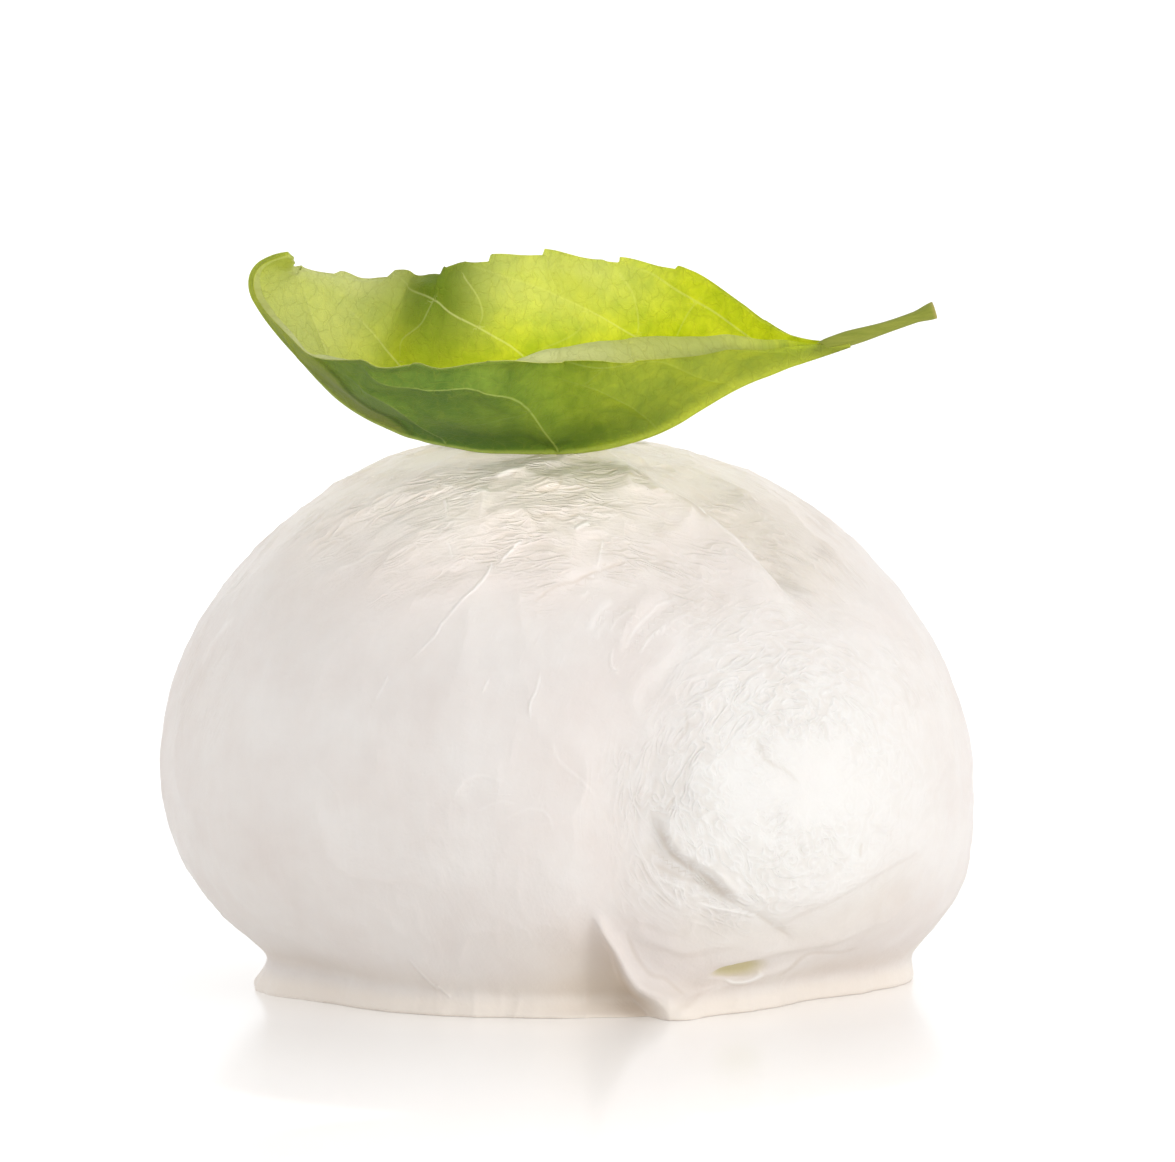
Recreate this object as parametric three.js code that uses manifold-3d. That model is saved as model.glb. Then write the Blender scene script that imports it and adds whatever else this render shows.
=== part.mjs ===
// A ball of burrata standing on a flat surface, with one basil leaf laid across its crown.
// Millimetres, +Z up. The cheese stands on z = 0 about the Z axis, its best side faces -Y, and +X is that view's right.
import * as THREE from "three";
import Module from "manifold-3d";

// ---- Driving dimensions ----
const BALL_WIDTH = 80; // across the belly, along X
const BALL_DEPTH = 76; // front to back
const BALL_HEIGHT = 55; // foot to crown
const BELLY_HEIGHT = 20.7; // of the widest ring
const FOOT_RADIUS = 29.8; // of the skirt of skin that spreads on the surface
const FOOT_HEIGHT = 2.8; // up to the waist above that skirt
const LEAF_LENGTH = 71.5; // along the midrib, stalk not counted
const LEAF_HALF_WIDTH = 20; // midrib to margin, laid flat
const LEAF_THICKNESS = 0.5;
const STALK_LENGTH = 9.4;

// ---- Small helpers ----
const DEGREE = Math.PI / 180;
const hill = (distance, width) => Math.exp(-((distance / width) ** 2));
const ramp = (low, high, x) => {
  const t = Math.min(1, Math.max(0, (x - low) / (high - low)));
  return t * t * (3 - 2 * t);
};
const mix = (a, b, t) => a + (b - a) * t;
// A hill round the ball, by the angle from +X in degrees.
const bulge = (angle, centre, width) => hill(((angle - centre + 540) % 360) - 180, width);

// How far (x, z) lies from a line of points: positive above it, and where along it, from 0 to 1.
function besideLine(line, x, z) {
  let nearest = { distance: Infinity, along: 0 };
  for (let i = 0; i + 1 < line.length; i++) {
    const [ax, az] = line[i];
    const [dx, dz] = [line[i + 1][0] - ax, line[i + 1][1] - az];
    const t = Math.min(1, Math.max(0, ((x - ax) * dx + (z - az) * dz) / (dx * dx + dz * dz)));
    const [px, pz] = [x - ax - t * dx, z - az - t * dz];
    const side = pz * dx - px * dz < 0 ? -1 : 1;
    const distance = Math.hypot(px, pz);
    if (distance < Math.abs(nearest.distance)) nearest = { distance: side * distance, along: (i + t) / (line.length - 1) };
  }
  return nearest;
}

// ---- The cheese: the plain ball ----
const CROWN_LEAN = -2; // the crown sits a little to the left
const CROWN_FLAT = { drop: 1, radius: 13 }; // and is a little flattened

// Each side's outline, from the angle round the ball: belly, skirt and waist.
function outlineAt(angle) {
  const c = Math.cos(angle * DEGREE);
  const s = Math.sin(angle * DEGREE);
  const foot =
    FOOT_RADIUS +
    5.4 * bulge(angle, 16, 23) + // it spreads furthest on the right
    0.6 * bulge(angle, -170, 17) +
    2.4 * bulge(angle, 95, 38) -
    2.6 * bulge(angle, -33, 15) -
    1.5 * bulge(angle, -146, 13);
  return {
    foot,
    waist: foot - 0.75 + 0.4 * c,
    waistHeight: FOOT_HEIGHT - 0.4 * c,
    belly: 1 / Math.hypot((2 * c) / BALL_WIDTH, (2 * s) / BALL_DEPTH),
    bellyHeight: BELLY_HEIGHT - 1.05 * c,
    fullness: 1.88 + 0.07 * c, // of the dome above the belly: 2 is an ellipse
    undercut: 2.6 + 0.45 * c, // of the curve below it
    flare: 0.7 * bulge(angle, 180, 30), // of the skirt's edge
  };
}

// ---- The cheese: its folds, on the side that faces -Y ----
// One ridge of skin runs down to a corner of the skirt, with a deep pocket on its left and a hollow on its right.
const RIDGE = { footX: 10.2, lean: 1.5, bend: 0.72, reach: 3.2, middle: 1, height: 4.6, left: 2.6, right: 5 };
const POCKET = { beside: 3.4, depth: 3.1, left: 6.5, right: 2.3, low: 1.6, full: 3, high: 13 };
const RIDGE_HOLLOW = { beside: 6, depth: 1, width: 3, high: 9 };
// The right lobe is the brighter and fuller one. A valley parts it from the left one.
const LOBE = { x: 22, z: 21, width: 12, height: 13, swell: 1.4 };
const VALLEY = { x: 6.4, width: 5.5, depth: 1.2 };
// Steps in the skin, as points of (x, z): the skin above each line stands out over the skin below it.
const FLAP = {
  line: [[8.9, 18.7], [13.2, 14.5], [15.6, 12.2], [21, 8.3], [22.8, 7]],
  over: 0.75,
  under: 1.1,
  reach: 4,
};
const CREASE = { line: [[20.5, 9.3], [25, 10.5], [29, 12.4], [34.2, 14.1]], over: 0.35, under: 0.35, reach: 2.6 };
const TUCK = { line: [[16.5, 5.2], [21, 5.6], [26.5, 6.6], [31, 8.6]], over: 0.4, under: 0.8, reach: 2 };
const STEP_SOFTNESS = 1.8;

function stepAt({ line, over, under, reach }, x, z) {
  const { distance, along } = besideLine(line, x, z);
  const ends = ramp(0, 0.2, along) * ramp(1, 0.8, along);
  const rise = Math.tanh(distance / STEP_SOFTNESS) * hill(distance, reach);
  return ends * rise * (distance > 0 ? over : under);
}

// How far the front of the ball stands out at (x, z), beyond the plain ball.
function foldsAt(x, z) {
  const ridgeX = RIDGE.footX - RIDGE.lean * z ** RIDGE.bend;
  const off = x - ridgeX;
  let out = RIDGE.reach * hill(Math.max(0, z - RIDGE.middle), RIDGE.height) * hill(off, off < 0 ? RIDGE.left : RIDGE.right);
  out -= RIDGE_HOLLOW.depth * hill(off - RIDGE_HOLLOW.beside, RIDGE_HOLLOW.width) * ramp(1.2, 3, z) * ramp(RIDGE_HOLLOW.high, 4, z);
  const inPocket = off + POCKET.beside;
  const pocketWidth = inPocket < 0 ? POCKET.left : POCKET.right;
  out -= POCKET.depth * hill(inPocket, pocketWidth) * ramp(POCKET.low, POCKET.full, z) * ramp(POCKET.high, POCKET.full, z);
  out -= VALLEY.depth * hill(x - VALLEY.x, VALLEY.width) * ramp(36, 22, z) * ramp(1.5, 6, z);
  out += LOBE.swell * hill(x - LOBE.x, LOBE.width) * hill(z - LOBE.z, LOBE.height);
  return out + stepAt(FLAP, x, z) + stepAt(CREASE, x, z) + stepAt(TUCK, x, z);
}

// Folds that run down from the crown, each with a hollow on one side of it.
const PLEATS = [
  { angle: -48.5, turn: 1, high: 53, low: 40, swell: 0.6, dip: 1.2, width: 3.5 },
  { angle: 38, turn: -0.4, high: 51, low: 30, swell: 0.6, dip: 0.9, width: 4.5 },
  { angle: 118, turn: 0.5, high: 52, low: 26, swell: 0.8, dip: 1.2, width: 5 },
  { angle: 204, turn: -0.4, high: 50, low: 34, swell: 0.4, dip: 0.5, width: 4.5 },
];

function pleatsAt(angle, radius, z) {
  let out = 0;
  for (const pleat of PLEATS) {
    const centre = pleat.angle - pleat.turn * (z - pleat.low);
    const off = ((((angle - centre + 540) % 360) + 360) % 360) - 180;
    const across = off * DEGREE * radius;
    const fade = ramp(pleat.low - 3, pleat.low + 5, z) * ramp(pleat.high + 1, pleat.high - 5, z);
    out += fade * (pleat.swell * hill(across, pleat.width * 0.8) - pleat.dip * hill(across - pleat.width * 1.6, pleat.width));
  }
  return out;
}

// Round the rest of the ball, soft uneven swellings.
const swellingsAt = (angle, z) =>
  0.5 * Math.sin(3 * angle * DEGREE) * hill(z - 26, 14) + 0.4 * Math.sin(4 * angle * DEGREE) * hill(z - 13, 10);

// A point of the skin: angle round the ball, and the row it is in.
function skinPoint(angle, row) {
  const o = outlineAt(angle);
  let radius;
  let z;
  if (row.part === "skirt") {
    radius = mix(o.foot + row.out + o.flare * row.flare, o.waist, row.inward);
    z = row.z * o.waistHeight;
  } else if (row.part === "belly") {
    radius = mix(o.belly, o.waist, (1 - row.share) ** o.undercut);
    z = mix(o.waistHeight, o.bellyHeight, row.share);
  } else {
    const height = Math.sin((row.share * Math.PI) / 2);
    radius = o.belly * Math.sqrt(1 - height ** o.fullness);
    z = mix(o.bellyHeight, BALL_HEIGHT, height) - CROWN_FLAT.drop * hill(radius, CROWN_FLAT.radius);
  }
  const c = Math.cos(angle * DEGREE);
  const s = Math.sin(angle * DEGREE);
  const leaning = Math.max(0, (z - BELLY_HEIGHT) / (BALL_HEIGHT - BELLY_HEIGHT)) ** 2;
  const point = new THREE.Vector3(radius * c + CROWN_LEAN * leaning, radius * s, z);
  const outward = new THREE.Vector3(
    radius * c * (2 / BALL_WIDTH) ** 2,
    radius * s * (2 / BALL_DEPTH) ** 2,
    row.part === "skirt" ? 0 : (z - o.bellyHeight) / (BALL_HEIGHT - BELLY_HEIGHT) ** 2,
  ).normalize();
  const front = ramp(0.05, 0.45, -outward.y);
  const out =
    front * foldsAt(point.x, z) +
    (row.part === "dome" ? pleatsAt(angle, radius, z) : 0) +
    swellingsAt(angle, z) * ramp(2, 7, z);
  point.addScaledVector(outward, out);
  return point;
}

// The rows of the skin from the edge that meets the surface up to just under the crown.
const SKIRT = [
  { z: 0, out: -0.15, flare: 1, inward: 0 },
  { z: 0.12, out: 0, flare: 0.7, inward: 0 },
  { z: 0.4, out: -0.05, flare: 0.15, inward: 0.1 },
  { z: 0.68, out: -0.2, flare: 0, inward: 0.35 },
  { z: 0.86, out: -0.3, flare: 0, inward: 0.8 },
];
const BELLY_ROWS = 14;
const DOME_ROWS = 18;
function skinRows() {
  const rows = SKIRT.map((row) => ({ part: "skirt", ...row }));
  for (let i = 0; i < BELLY_ROWS; i++) rows.push({ part: "belly", share: (i / BELLY_ROWS) ** 1.3 });
  for (let i = 0; i < DOME_ROWS; i++) rows.push({ part: "dome", share: i / DOME_ROWS });
  return rows;
}

// The columns crowd towards the front, where the folds are.
const COLUMNS = 92;
const FRONT = -78;
const columnAngle = (i) => {
  const turn = ((i + 0.5) / COLUMNS) * 2 * Math.PI;
  return FRONT + 180 + (turn + 0.52 * Math.sin(turn)) / DEGREE;
};

// A closed skin from rings of points and the two points that close its ends.
function closedSkin(rings, first, last) {
  const points = [first, ...rings.flat(), last];
  const n = rings[0].length;
  const faces = [];
  const at = (ring, i) => 1 + ring * n + (i % n);
  for (let i = 0; i < n; i++) {
    faces.push(0, at(0, i + 1), at(0, i));
    for (let r = 0; r + 1 < rings.length; r++) {
      faces.push(at(r, i), at(r, i + 1), at(r + 1, i + 1));
      faces.push(at(r, i), at(r + 1, i + 1), at(r + 1, i));
    }
    faces.push(points.length - 1, at(rings.length - 1, i), at(rings.length - 1, i + 1));
  }
  const geometry = new THREE.BufferGeometry();
  geometry.setAttribute("position", new THREE.Float32BufferAttribute(points.flatMap((p) => [p.x, p.y, p.z]), 3));
  geometry.setIndex(faces);
  return geometry;
}

function cheeseGeometry() {
  const rings = skinRows().map((row) => Array.from({ length: COLUMNS }, (_, i) => skinPoint(columnAngle(i), row)));
  const crown = new THREE.Vector3(CROWN_LEAN, 0, BALL_HEIGHT - CROWN_FLAT.drop);
  return closedSkin(rings, new THREE.Vector3(0, 0, 0), crown);
}

// ---- The basil leaf ----
const LEAF_BASE = { x: 27.3, y: -11, z: 64.5 }; // where the blade meets its stalk
// The midrib's climb in degrees at distances from the stalk: down, along the crown, up, and over at the tip.
const CLIMB = [
  [0, -21],
  [8, -24],
  [13, -33],
  [17.5, -32],
  [22.5, -12],
  [30, -2],
  [36.5, 2],
  [42.5, 14],
  [49.5, 28],
  [54.5, 45],
  [62.5, 51],
  [65, 62],
  [67, 95],
  [69, 150],
  [71.5, 175],
];
// How far the blade's upright leans, in degrees, at shares of that length: its halves fan out less than it climbs.
const TILT = [
  [0, -22],
  [0.27, -21],
  [0.42, -5],
  [0.6, 9],
  [0.75, 30],
  [0.9, 46],
  [1, 120],
];
const MIDRIB = { drop: 0.4, width: 0.9 };
const TEETH = { pitch: 5.6, depth: 0.8 };

// A value between the rows of a table, in radians.
function angleFrom(table, place) {
  let i = 0;
  while (i + 2 < table.length && place > table[i + 1][0]) i++;
  const [[from, low], [to, high]] = [table[i], table[i + 1]];
  return mix(low, high, Math.min(1, (place - from) / (to - from))) * DEGREE;
}

// The midrib as a row of stations, each with its place, direction and the way into the leaf's hollow.
function midribStations(count) {
  const stations = [];
  const steps = 8;
  const place = new THREE.Vector3(LEAF_BASE.x, LEAF_BASE.y, LEAF_BASE.z);
  for (let i = 0; i <= count; i++) {
    const distance = (LEAF_LENGTH * i) / count;
    const tilt = angleFrom(TILT, i / count);
    stations.push({
      share: i / count,
      distance,
      place: place.clone(),
      inward: new THREE.Vector3(Math.sin(tilt), 0, Math.cos(tilt)),
    });
    for (let j = 0; j < steps; j++) {
      const step = LEAF_LENGTH / count / steps;
      const c = angleFrom(CLIMB, distance + (j + 0.5) * step);
      place.x -= Math.cos(c) * step;
      place.z += Math.sin(c) * step;
    }
  }
  return stations;
}

// A tooth's rise along the margin: it grows towards the tip and then drops.
function toothAt(distance, offset) {
  const t = ((distance + offset) / TEETH.pitch) % 1;
  return TEETH.depth * (t < 0.82 ? t / 0.82 : (1 - t) / 0.18);
}

// How steeply each half of the blade rises, in degrees, from the midrib and at the margin.
const SECTIONS = [
  { at: 0, near: [20, 40], far: [30, 70] },
  { at: 0.1, near: [20, 46], far: [40, 76] },
  { at: 0.17, near: [26, 60], far: [46, 92] },
  { at: 0.28, near: [28, 70], far: [42, 94] },
  { at: 0.42, near: [18, 76], far: [36, 89] },
  { at: 0.53, near: [8, 56], far: [32, 86] },
  { at: 0.63, near: [4, 50], far: [28, 81] },
  { at: 0.72, near: [-3, 40], far: [24, 64] },
  { at: 0.82, near: [-12, 22], far: [16, 49] },
  { at: 1, near: [-10, 14], far: [16, 44] },
];
const LIP = { turn: 135, less: 50, from: 0.03, to: 0.55 }; // the near margin rolls out over the stalk's half of the blade
const FAR_FLARE = { turn: 5, waves: 19 }; // the far margin leans out and back along the blade
const RIPPLE = { turn: 5, length: 3.1 }; // both margins are a little wavy

function sectionAt(share, half) {
  let i = 0;
  while (i + 2 < SECTIONS.length && share > SECTIONS[i + 1].at) i++;
  const t = ramp(SECTIONS[i].at, SECTIONS[i + 1].at, share);
  return [0, 1].map((end) => mix(SECTIONS[i][half][end], SECTIONS[i + 1][half][end], t));
}

// One point of the leaf's middle surface. across runs from -1, the far margin, to 1, the near one.
const BEND_STEPS = 24;
function leafPoint(station, across) {
  const s = station.share;
  const far = across < 0;
  const swell = Math.sin(Math.PI * Math.min(0.997, s)) ** 0.62 * mix(0.06, 1, ramp(0, 0.18, s));
  const fade = ramp(0, 0.12, s) * ramp(1, 0.9, s);
  const broad = far ? 1 + 0.06 * hill(s - 0.34, 0.14) : 1 - 0.12 * ramp(0.35, 0.55, s);
  const half = LEAF_HALF_WIDTH * swell * broad + toothAt(station.distance, far ? 1.2 : 3.4) * fade;
  const [start, end] = sectionAt(s, far ? "far" : "near");
  const rolled = ramp(LIP.to, LIP.to - 0.16, s) * ramp(LIP.from, LIP.from + 0.12, s);
  const lip = far ? -FAR_FLARE.turn * Math.sin(s * FAR_FLARE.waves) : (LIP.less * ramp(0.15, 0.42, s) - LIP.turn) * rolled;
  const wave = RIPPLE.turn * Math.sin(station.distance / RIPPLE.length + (far ? 0 : 1.4));
  let side = 0;
  let rise = 0;
  for (let i = 0; i < BEND_STEPS; i++) {
    const a = ((i + 0.5) / BEND_STEPS) * Math.abs(across);
    const angle = mix(start, end, far ? 1 - (1 - a) ** 2.6 : a) + lip * ramp(0.76, 0.9, a) + wave * ramp(0.5, 1, a);
    side += Math.cos(angle * DEGREE);
    rise += Math.sin(angle * DEGREE);
  }
  const step = (Math.abs(across) * half) / BEND_STEPS;
  const point = station.place.clone().addScaledVector(station.inward, rise * step);
  point.y += (far ? 1 : -1) * side * step;
  return point;
}

const LEAF_ROWS = 50;
const ACROSS = [-1, -0.86, -0.68, -0.48, -0.3, -0.14, -0.05, 0, 0.05, 0.15, 0.32, 0.5, 0.67, 0.77, 0.84, 0.91, 1];
function bladeGeometry() {
  const stations = midribStations(LEAF_ROWS);
  const middle = stations.map((station) => ACROSS.map((across) => leafPoint(station, across)));
  const along = new THREE.Vector3();
  const sideways = new THREE.Vector3();
  const rings = middle.map((row, i) => {
    const upper = [];
    const lower = [];
    row.forEach((point, j) => {
      along.subVectors(middle[Math.max(0, i - 1)][j], middle[Math.min(LEAF_ROWS, i + 1)][j]);
      sideways.subVectors(row[Math.max(0, j - 1)], row[Math.min(row.length - 1, j + 1)]);
      const up = new THREE.Vector3().crossVectors(along, sideways).normalize();
      const reach = ACROSS[j] * LEAF_HALF_WIDTH * Math.sin(Math.PI * stations[i].share);
      const rib = MIDRIB.drop * hill(reach, MIDRIB.width) * (1 - 0.8 * stations[i].share);
      upper.push(point.clone().addScaledVector(up, LEAF_THICKNESS / 2));
      lower.push(point.clone().addScaledVector(up, -LEAF_THICKNESS / 2 - rib));
    });
    return [...lower, ...upper.reverse()];
  });
  const centre = (ring) => ring.reduce((sum, p) => sum.add(p), new THREE.Vector3()).divideScalar(ring.length);
  return closedSkin(rings, centre(rings[0]), centre(rings[rings.length - 1]));
}

// The stalk: thin, thicker where it joins the blade, and a little wider again at the cut end.
const STALK = { joint: 0.85, middle: 0.56, cut: 0.85, climb: 18.5, inside: 4, sides: 12, rows: 16 };
function stalkGeometry() {
  const climb = STALK.climb * DEGREE;
  const direction = new THREE.Vector3(Math.cos(climb), 0.04, Math.sin(climb)).normalize();
  const up = new THREE.Vector3(-Math.sin(climb), 0, Math.cos(climb));
  const sideways = new THREE.Vector3().crossVectors(up, direction).normalize();
  const whole = STALK_LENGTH + STALK.inside;
  const centreAt = (distance) => {
    const centre = new THREE.Vector3(LEAF_BASE.x, LEAF_BASE.y, LEAF_BASE.z);
    const bow = 0.5 * Math.sin((Math.PI * Math.max(0, distance)) / STALK_LENGTH);
    return centre.addScaledVector(direction, distance).addScaledVector(up, -bow);
  };
  const rings = [];
  for (let i = 0; i <= STALK.rows; i++) {
    const distance = (whole * i) / STALK.rows - STALK.inside;
    const joint = hill(distance, 3.2);
    const cut = ramp(STALK_LENGTH - 2.2, STALK_LENGTH, distance);
    const taper = ramp(-STALK.inside, -STALK.inside / 2, distance);
    const radius = mix(0.3, STALK.middle + (STALK.joint - STALK.middle) * joint + (STALK.cut - STALK.middle) * cut, taper);
    rings.push(
      Array.from({ length: STALK.sides }, (_, k) => {
        const turn = (k / STALK.sides) * 2 * Math.PI;
        return centreAt(distance)
          .addScaledVector(up, radius * Math.sin(turn))
          .addScaledVector(sideways, radius * Math.cos(turn));
      }),
    );
  }
  return closedSkin(rings, centreAt(-STALK.inside), centreAt(STALK_LENGTH));
}

// ---- Joining ----
const wasm = await Module();
wasm.setup();

function solidFrom(geometry) {
  return new wasm.Manifold(
    new wasm.Mesh({
      numProp: 3,
      vertProperties: geometry.attributes.position.array,
      triVerts: new Uint32Array(geometry.index.array),
    }),
  );
}

function geometryFrom(solid) {
  const mesh = solid.getMesh();
  const geometry = new THREE.BufferGeometry();
  geometry.setAttribute("position", new THREE.BufferAttribute(new Float32Array(mesh.vertProperties), 3));
  geometry.setIndex(new THREE.BufferAttribute(new Uint32Array(mesh.triVerts), 1));
  return geometry;
}

// ---- The object ----
function named(name, geometry, material) {
  geometry.computeVertexNormals();
  const mesh = new THREE.Mesh(geometry, material);
  mesh.name = name;
  return mesh;
}

const curdSkin = new THREE.MeshStandardMaterial({ color: 0xeae3db, roughness: 0.42, metalness: 0 });
const basilGreen = new THREE.MeshStandardMaterial({ color: 0x7f9a34, roughness: 0.5, metalness: 0 });

const burrata = new THREE.Group();
burrata.add(named("cheese", cheeseGeometry(), curdSkin));
burrata.add(named("basil_leaf", geometryFrom(solidFrom(bladeGeometry()).add(solidFrom(stalkGeometry()))), basilGreen));

// The object's box is centred over the origin.
const box = new THREE.Box3().setFromObject(burrata);
for (const piece of burrata.children) {
  piece.geometry.translate(-(box.min.x + box.max.x) / 2, -(box.min.y + box.max.y) / 2, 0);
}

export default burrata;
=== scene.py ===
import bpy
import numpy as np
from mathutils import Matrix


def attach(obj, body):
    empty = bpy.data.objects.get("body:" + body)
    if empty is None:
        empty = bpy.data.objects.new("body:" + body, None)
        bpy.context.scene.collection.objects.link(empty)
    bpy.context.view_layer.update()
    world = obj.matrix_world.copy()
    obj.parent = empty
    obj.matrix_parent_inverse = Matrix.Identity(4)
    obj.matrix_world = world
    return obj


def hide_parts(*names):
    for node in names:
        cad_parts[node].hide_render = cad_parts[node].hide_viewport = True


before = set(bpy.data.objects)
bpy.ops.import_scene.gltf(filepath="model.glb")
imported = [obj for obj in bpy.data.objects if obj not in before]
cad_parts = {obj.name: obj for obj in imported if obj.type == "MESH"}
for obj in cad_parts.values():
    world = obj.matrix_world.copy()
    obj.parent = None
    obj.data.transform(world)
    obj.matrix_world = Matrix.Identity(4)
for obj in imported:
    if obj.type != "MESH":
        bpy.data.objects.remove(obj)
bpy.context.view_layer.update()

# ---- The cheese ----
# A bag of stretched curd filled with cream and torn curd. It is pulled shut by hand and stood on its knot, so
# its own weight pushes the slack skin out into a foot, with folds above it where the bag was gathered.
MM = 0.001
DEGREE = np.pi / 180
OVER_ORIGIN = np.array([-0.02, 0.32, 0.0])  # the whole part, leaf included, is centred over the origin
BALL_WIDTH = 80.0
BALL_DEPTH = 76.0
BALL_HEIGHT = 55.0
BELLY_HEIGHT = 20.7
FOOT_RADIUS = 29.8
FOOT_HEIGHT = 2.8
CROWN_LEAN = -2.0
CROWN_DROP = 1.0
CROWN_RADIUS = 13.0


def hill(distance, width):
    return np.exp(-((distance / width) ** 2))


def ramp(low, high, x):
    t = np.clip((x - low) / (high - low), 0, 1)
    return t * t * (3 - 2 * t)


def mix(a, b, t):
    return a + (b - a) * t


def hill_round(angle, centre, width):
    """A hill round the ball, by the angle from +X in degrees."""
    return hill((angle - centre + 540) % 360 - 180, width)


def beside(line, x, z):
    """How far (x, z) lies above a line of points, and where along it, from 0 to 1."""
    nearest = np.full(np.shape(x), 1e6)
    along = np.zeros(np.shape(x))
    spans = len(line) - 1
    for i in range(spans):
        (ax, az), (bx, bz) = line[i], line[i + 1]
        dx, dz = bx - ax, bz - az
        t = np.clip(((x - ax) * dx + (z - az) * dz) / (dx * dx + dz * dz), 0, 1)
        px, pz = x - ax - t * dx, z - az - t * dz
        gap = np.hypot(px, pz)
        closer = gap < np.abs(nearest)
        nearest = np.where(closer, np.where(pz * dx - px * dz < 0, -gap, gap), nearest)
        along = np.where(closer, (i + t) / spans, along)
    return nearest, along


def eased(line, steps=4):
    """The same line as a smooth curve through its points."""
    points = np.array(line, float)
    ends = np.vstack([2 * points[0] - points[1], points, 2 * points[-1] - points[-2]])
    curve = []
    for a, b, c, d in zip(ends, ends[1:], ends[2:], ends[3:]):
        for t in np.arange(steps) / steps:
            turning = 2 * a - 5 * b + 4 * c - d + t * (3 * b - a - 3 * c + d)
            curve.append(b + 0.5 * t * (c - a + t * turning))
    return curve + [points[-1]]


LATTICE = np.random.default_rng(11).random((32, 32, 32))


def lumps(x, y, z):
    """Soft lumps one unit across, from 0 to 1, the same at each run."""
    value = np.zeros(np.broadcast(x, y, z).shape)
    cells = [np.floor(c).astype(int) for c in (x, y, z)]
    parts = [ramp(0, 1, c - cell) for c, cell in zip((x, y, z), cells)]
    for corner in range(8):
        weight = 1.0
        index = []
        for axis in range(3):
            high = corner >> axis & 1
            weight = weight * (parts[axis] if high else 1 - parts[axis])
            index.append((cells[axis] + high) % 32)
        value = value + weight * LATTICE[tuple(index)]
    return value


def creases(x, y, z):
    """Thin raised creases about one unit apart, from 0 to 1."""
    bend = 0.6 * lumps(x * 0.6 + 9, y * 0.6, z * 0.6)
    return (1 - np.abs(2 * lumps(x + bend, y + bend, z - bend) - 1)) ** 4


# The folds, in millimetres as the front view shows them. First the rolled ridge that runs down to a corner of
# the foot, with a deep pocket on its left and a shallow hollow on its right.
RIDGE = ((2.4, 10.6), (3.3, 8.6), (4.6, 6.3), (5.5, 4.3), (6.3, 2.8), (7.6, 1.5), (8.3, 0.6), (8.6, -0.6))
ROLL_WIDTH = (0.7, 1.0, 1.9, 3.0)  # from its top to its foot
CORNER_REACH = 3.0
POCKET_DEPTH = 2.2


def ridge_and_pocket(x, z):
    off, along = beside(eased(RIDGE), x, z)
    right = ramp(-0.5, 0.35, off)
    width = np.interp(along, (0, 0.35, 0.7, 1), ROLL_WIDTH)
    corner = CORNER_REACH * hill(np.maximum(0, z - 1), 4.6) * hill(np.maximum(0, off - 1), 4.2)
    roll = 0.75 * hill(off - 0.5 * width, 0.55 * width) * ramp(0, 0.15, along) * ramp(13, 9, z)
    trough = 0.4 * hill(off - width - 1.3, 1.4) * ramp(1.0, 3.2, z) * ramp(11, 6, z)
    pocket = POCKET_DEPTH * hill(off, 6.2) * ramp(-0.6, 1.4, z) * ramp(11.5, 2.0, z)
    return right * (corner + roll) - trough - (1 - right) * pocket


# Each step is a place where one layer of skin lies over another: (points, over, under, reach, softness).
STEPS = (
    (
        [(8.2, 21), (8.7, 19.5), (9.8, 17.3), (11.4, 15.8)]
        + [(12.9, 14.9), (14, 13.9), (15.3, 12.6), (16.6, 11.6)],
        *(0.7, 0.6, 3.0, 0.45),
    ),
    ([(13.6, 12.9), (16.0, 11.9), (18.9, 10.2), (20.9, 8.5), (22.7, 6.9)], 0.2, 0.2, 1.8, 0.45),
    ([(19.6, 9.3), (22.8, 10.6), (27.5, 12.4), (31.6, 14.1), (35.0, 15.6)], 0.25, 0.2, 2.4, 0.5),
    ([(13.0, 4.9), (15.9, 5.2), (19.0, 5.7), (22.0, 6.0), (26.5, 6.3), (31, 8.2)], 0.3, 0.45, 1.6, 0.35),
    ([(21.8, 39.0), (19.3, 41.9), (15.8, 45.6), (11.3, 48.7), (7.1, 51.2), (3.6, 52.9)], 0.8, 1.2, 3.0, 0.6),
    ([(6.4, 9.3), (8.0, 9.3), (9.8, 8.5), (11.8, 8.9)], 0.16, 0.16, 1.0, 0.3),
    ([(8.6, 0.6), (10.4, 1.4), (12.3, 2.3), (14.9, 3.0), (19.5, 4.0), (24.0, 5.0)], -0.22, -0.3, 1.4, 0.25),
    ([(6.6, 7.4), (9.1, 7.1), (11.4, 6.3), (14.5, 6.9), (17.2, 7.1)], 0.18, 0.18, 1.0, 0.3),
    ([(5.2, 35.0), (5.7, 37.0), (7.6, 39.2), (9.9, 40.4)], 0.2, 0.2, 1.4, 0.25),
    ([(-3.5, 39.6), (-0.6, 41.5), (2.6, 42.6), (6.5, 43.7)], 0.14, 0.16, 1.4, 0.25),
    ([(-10.6, 22.0), (-8.3, 24.1), (-5.9, 23.6)], 0.18, 0.18, 1.3, 0.25),
    ([(-15.5, 6.0), (-14.0, 4.2), (-12.3, 2.6), (-11.0, 1.7)], 0.28, 0.2, 1.3, 0.3),
    ([(7.6, 22.0), (7.7, 24.6), (8.8, 27.0)], 0.18, 0.15, 1.8, 0.35),
    ([(6.4, 30.2), (7.3, 32.4), (9.3, 34.2), (11.6, 36.4)], 0.22, 0.2, 1.8, 0.35),
    ([(17.2, 27.4), (18.3, 25.6), (20.3, 24.0), (21.8, 22.5)], 0.24, 0.22, 1.5, 0.2),
)
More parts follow.
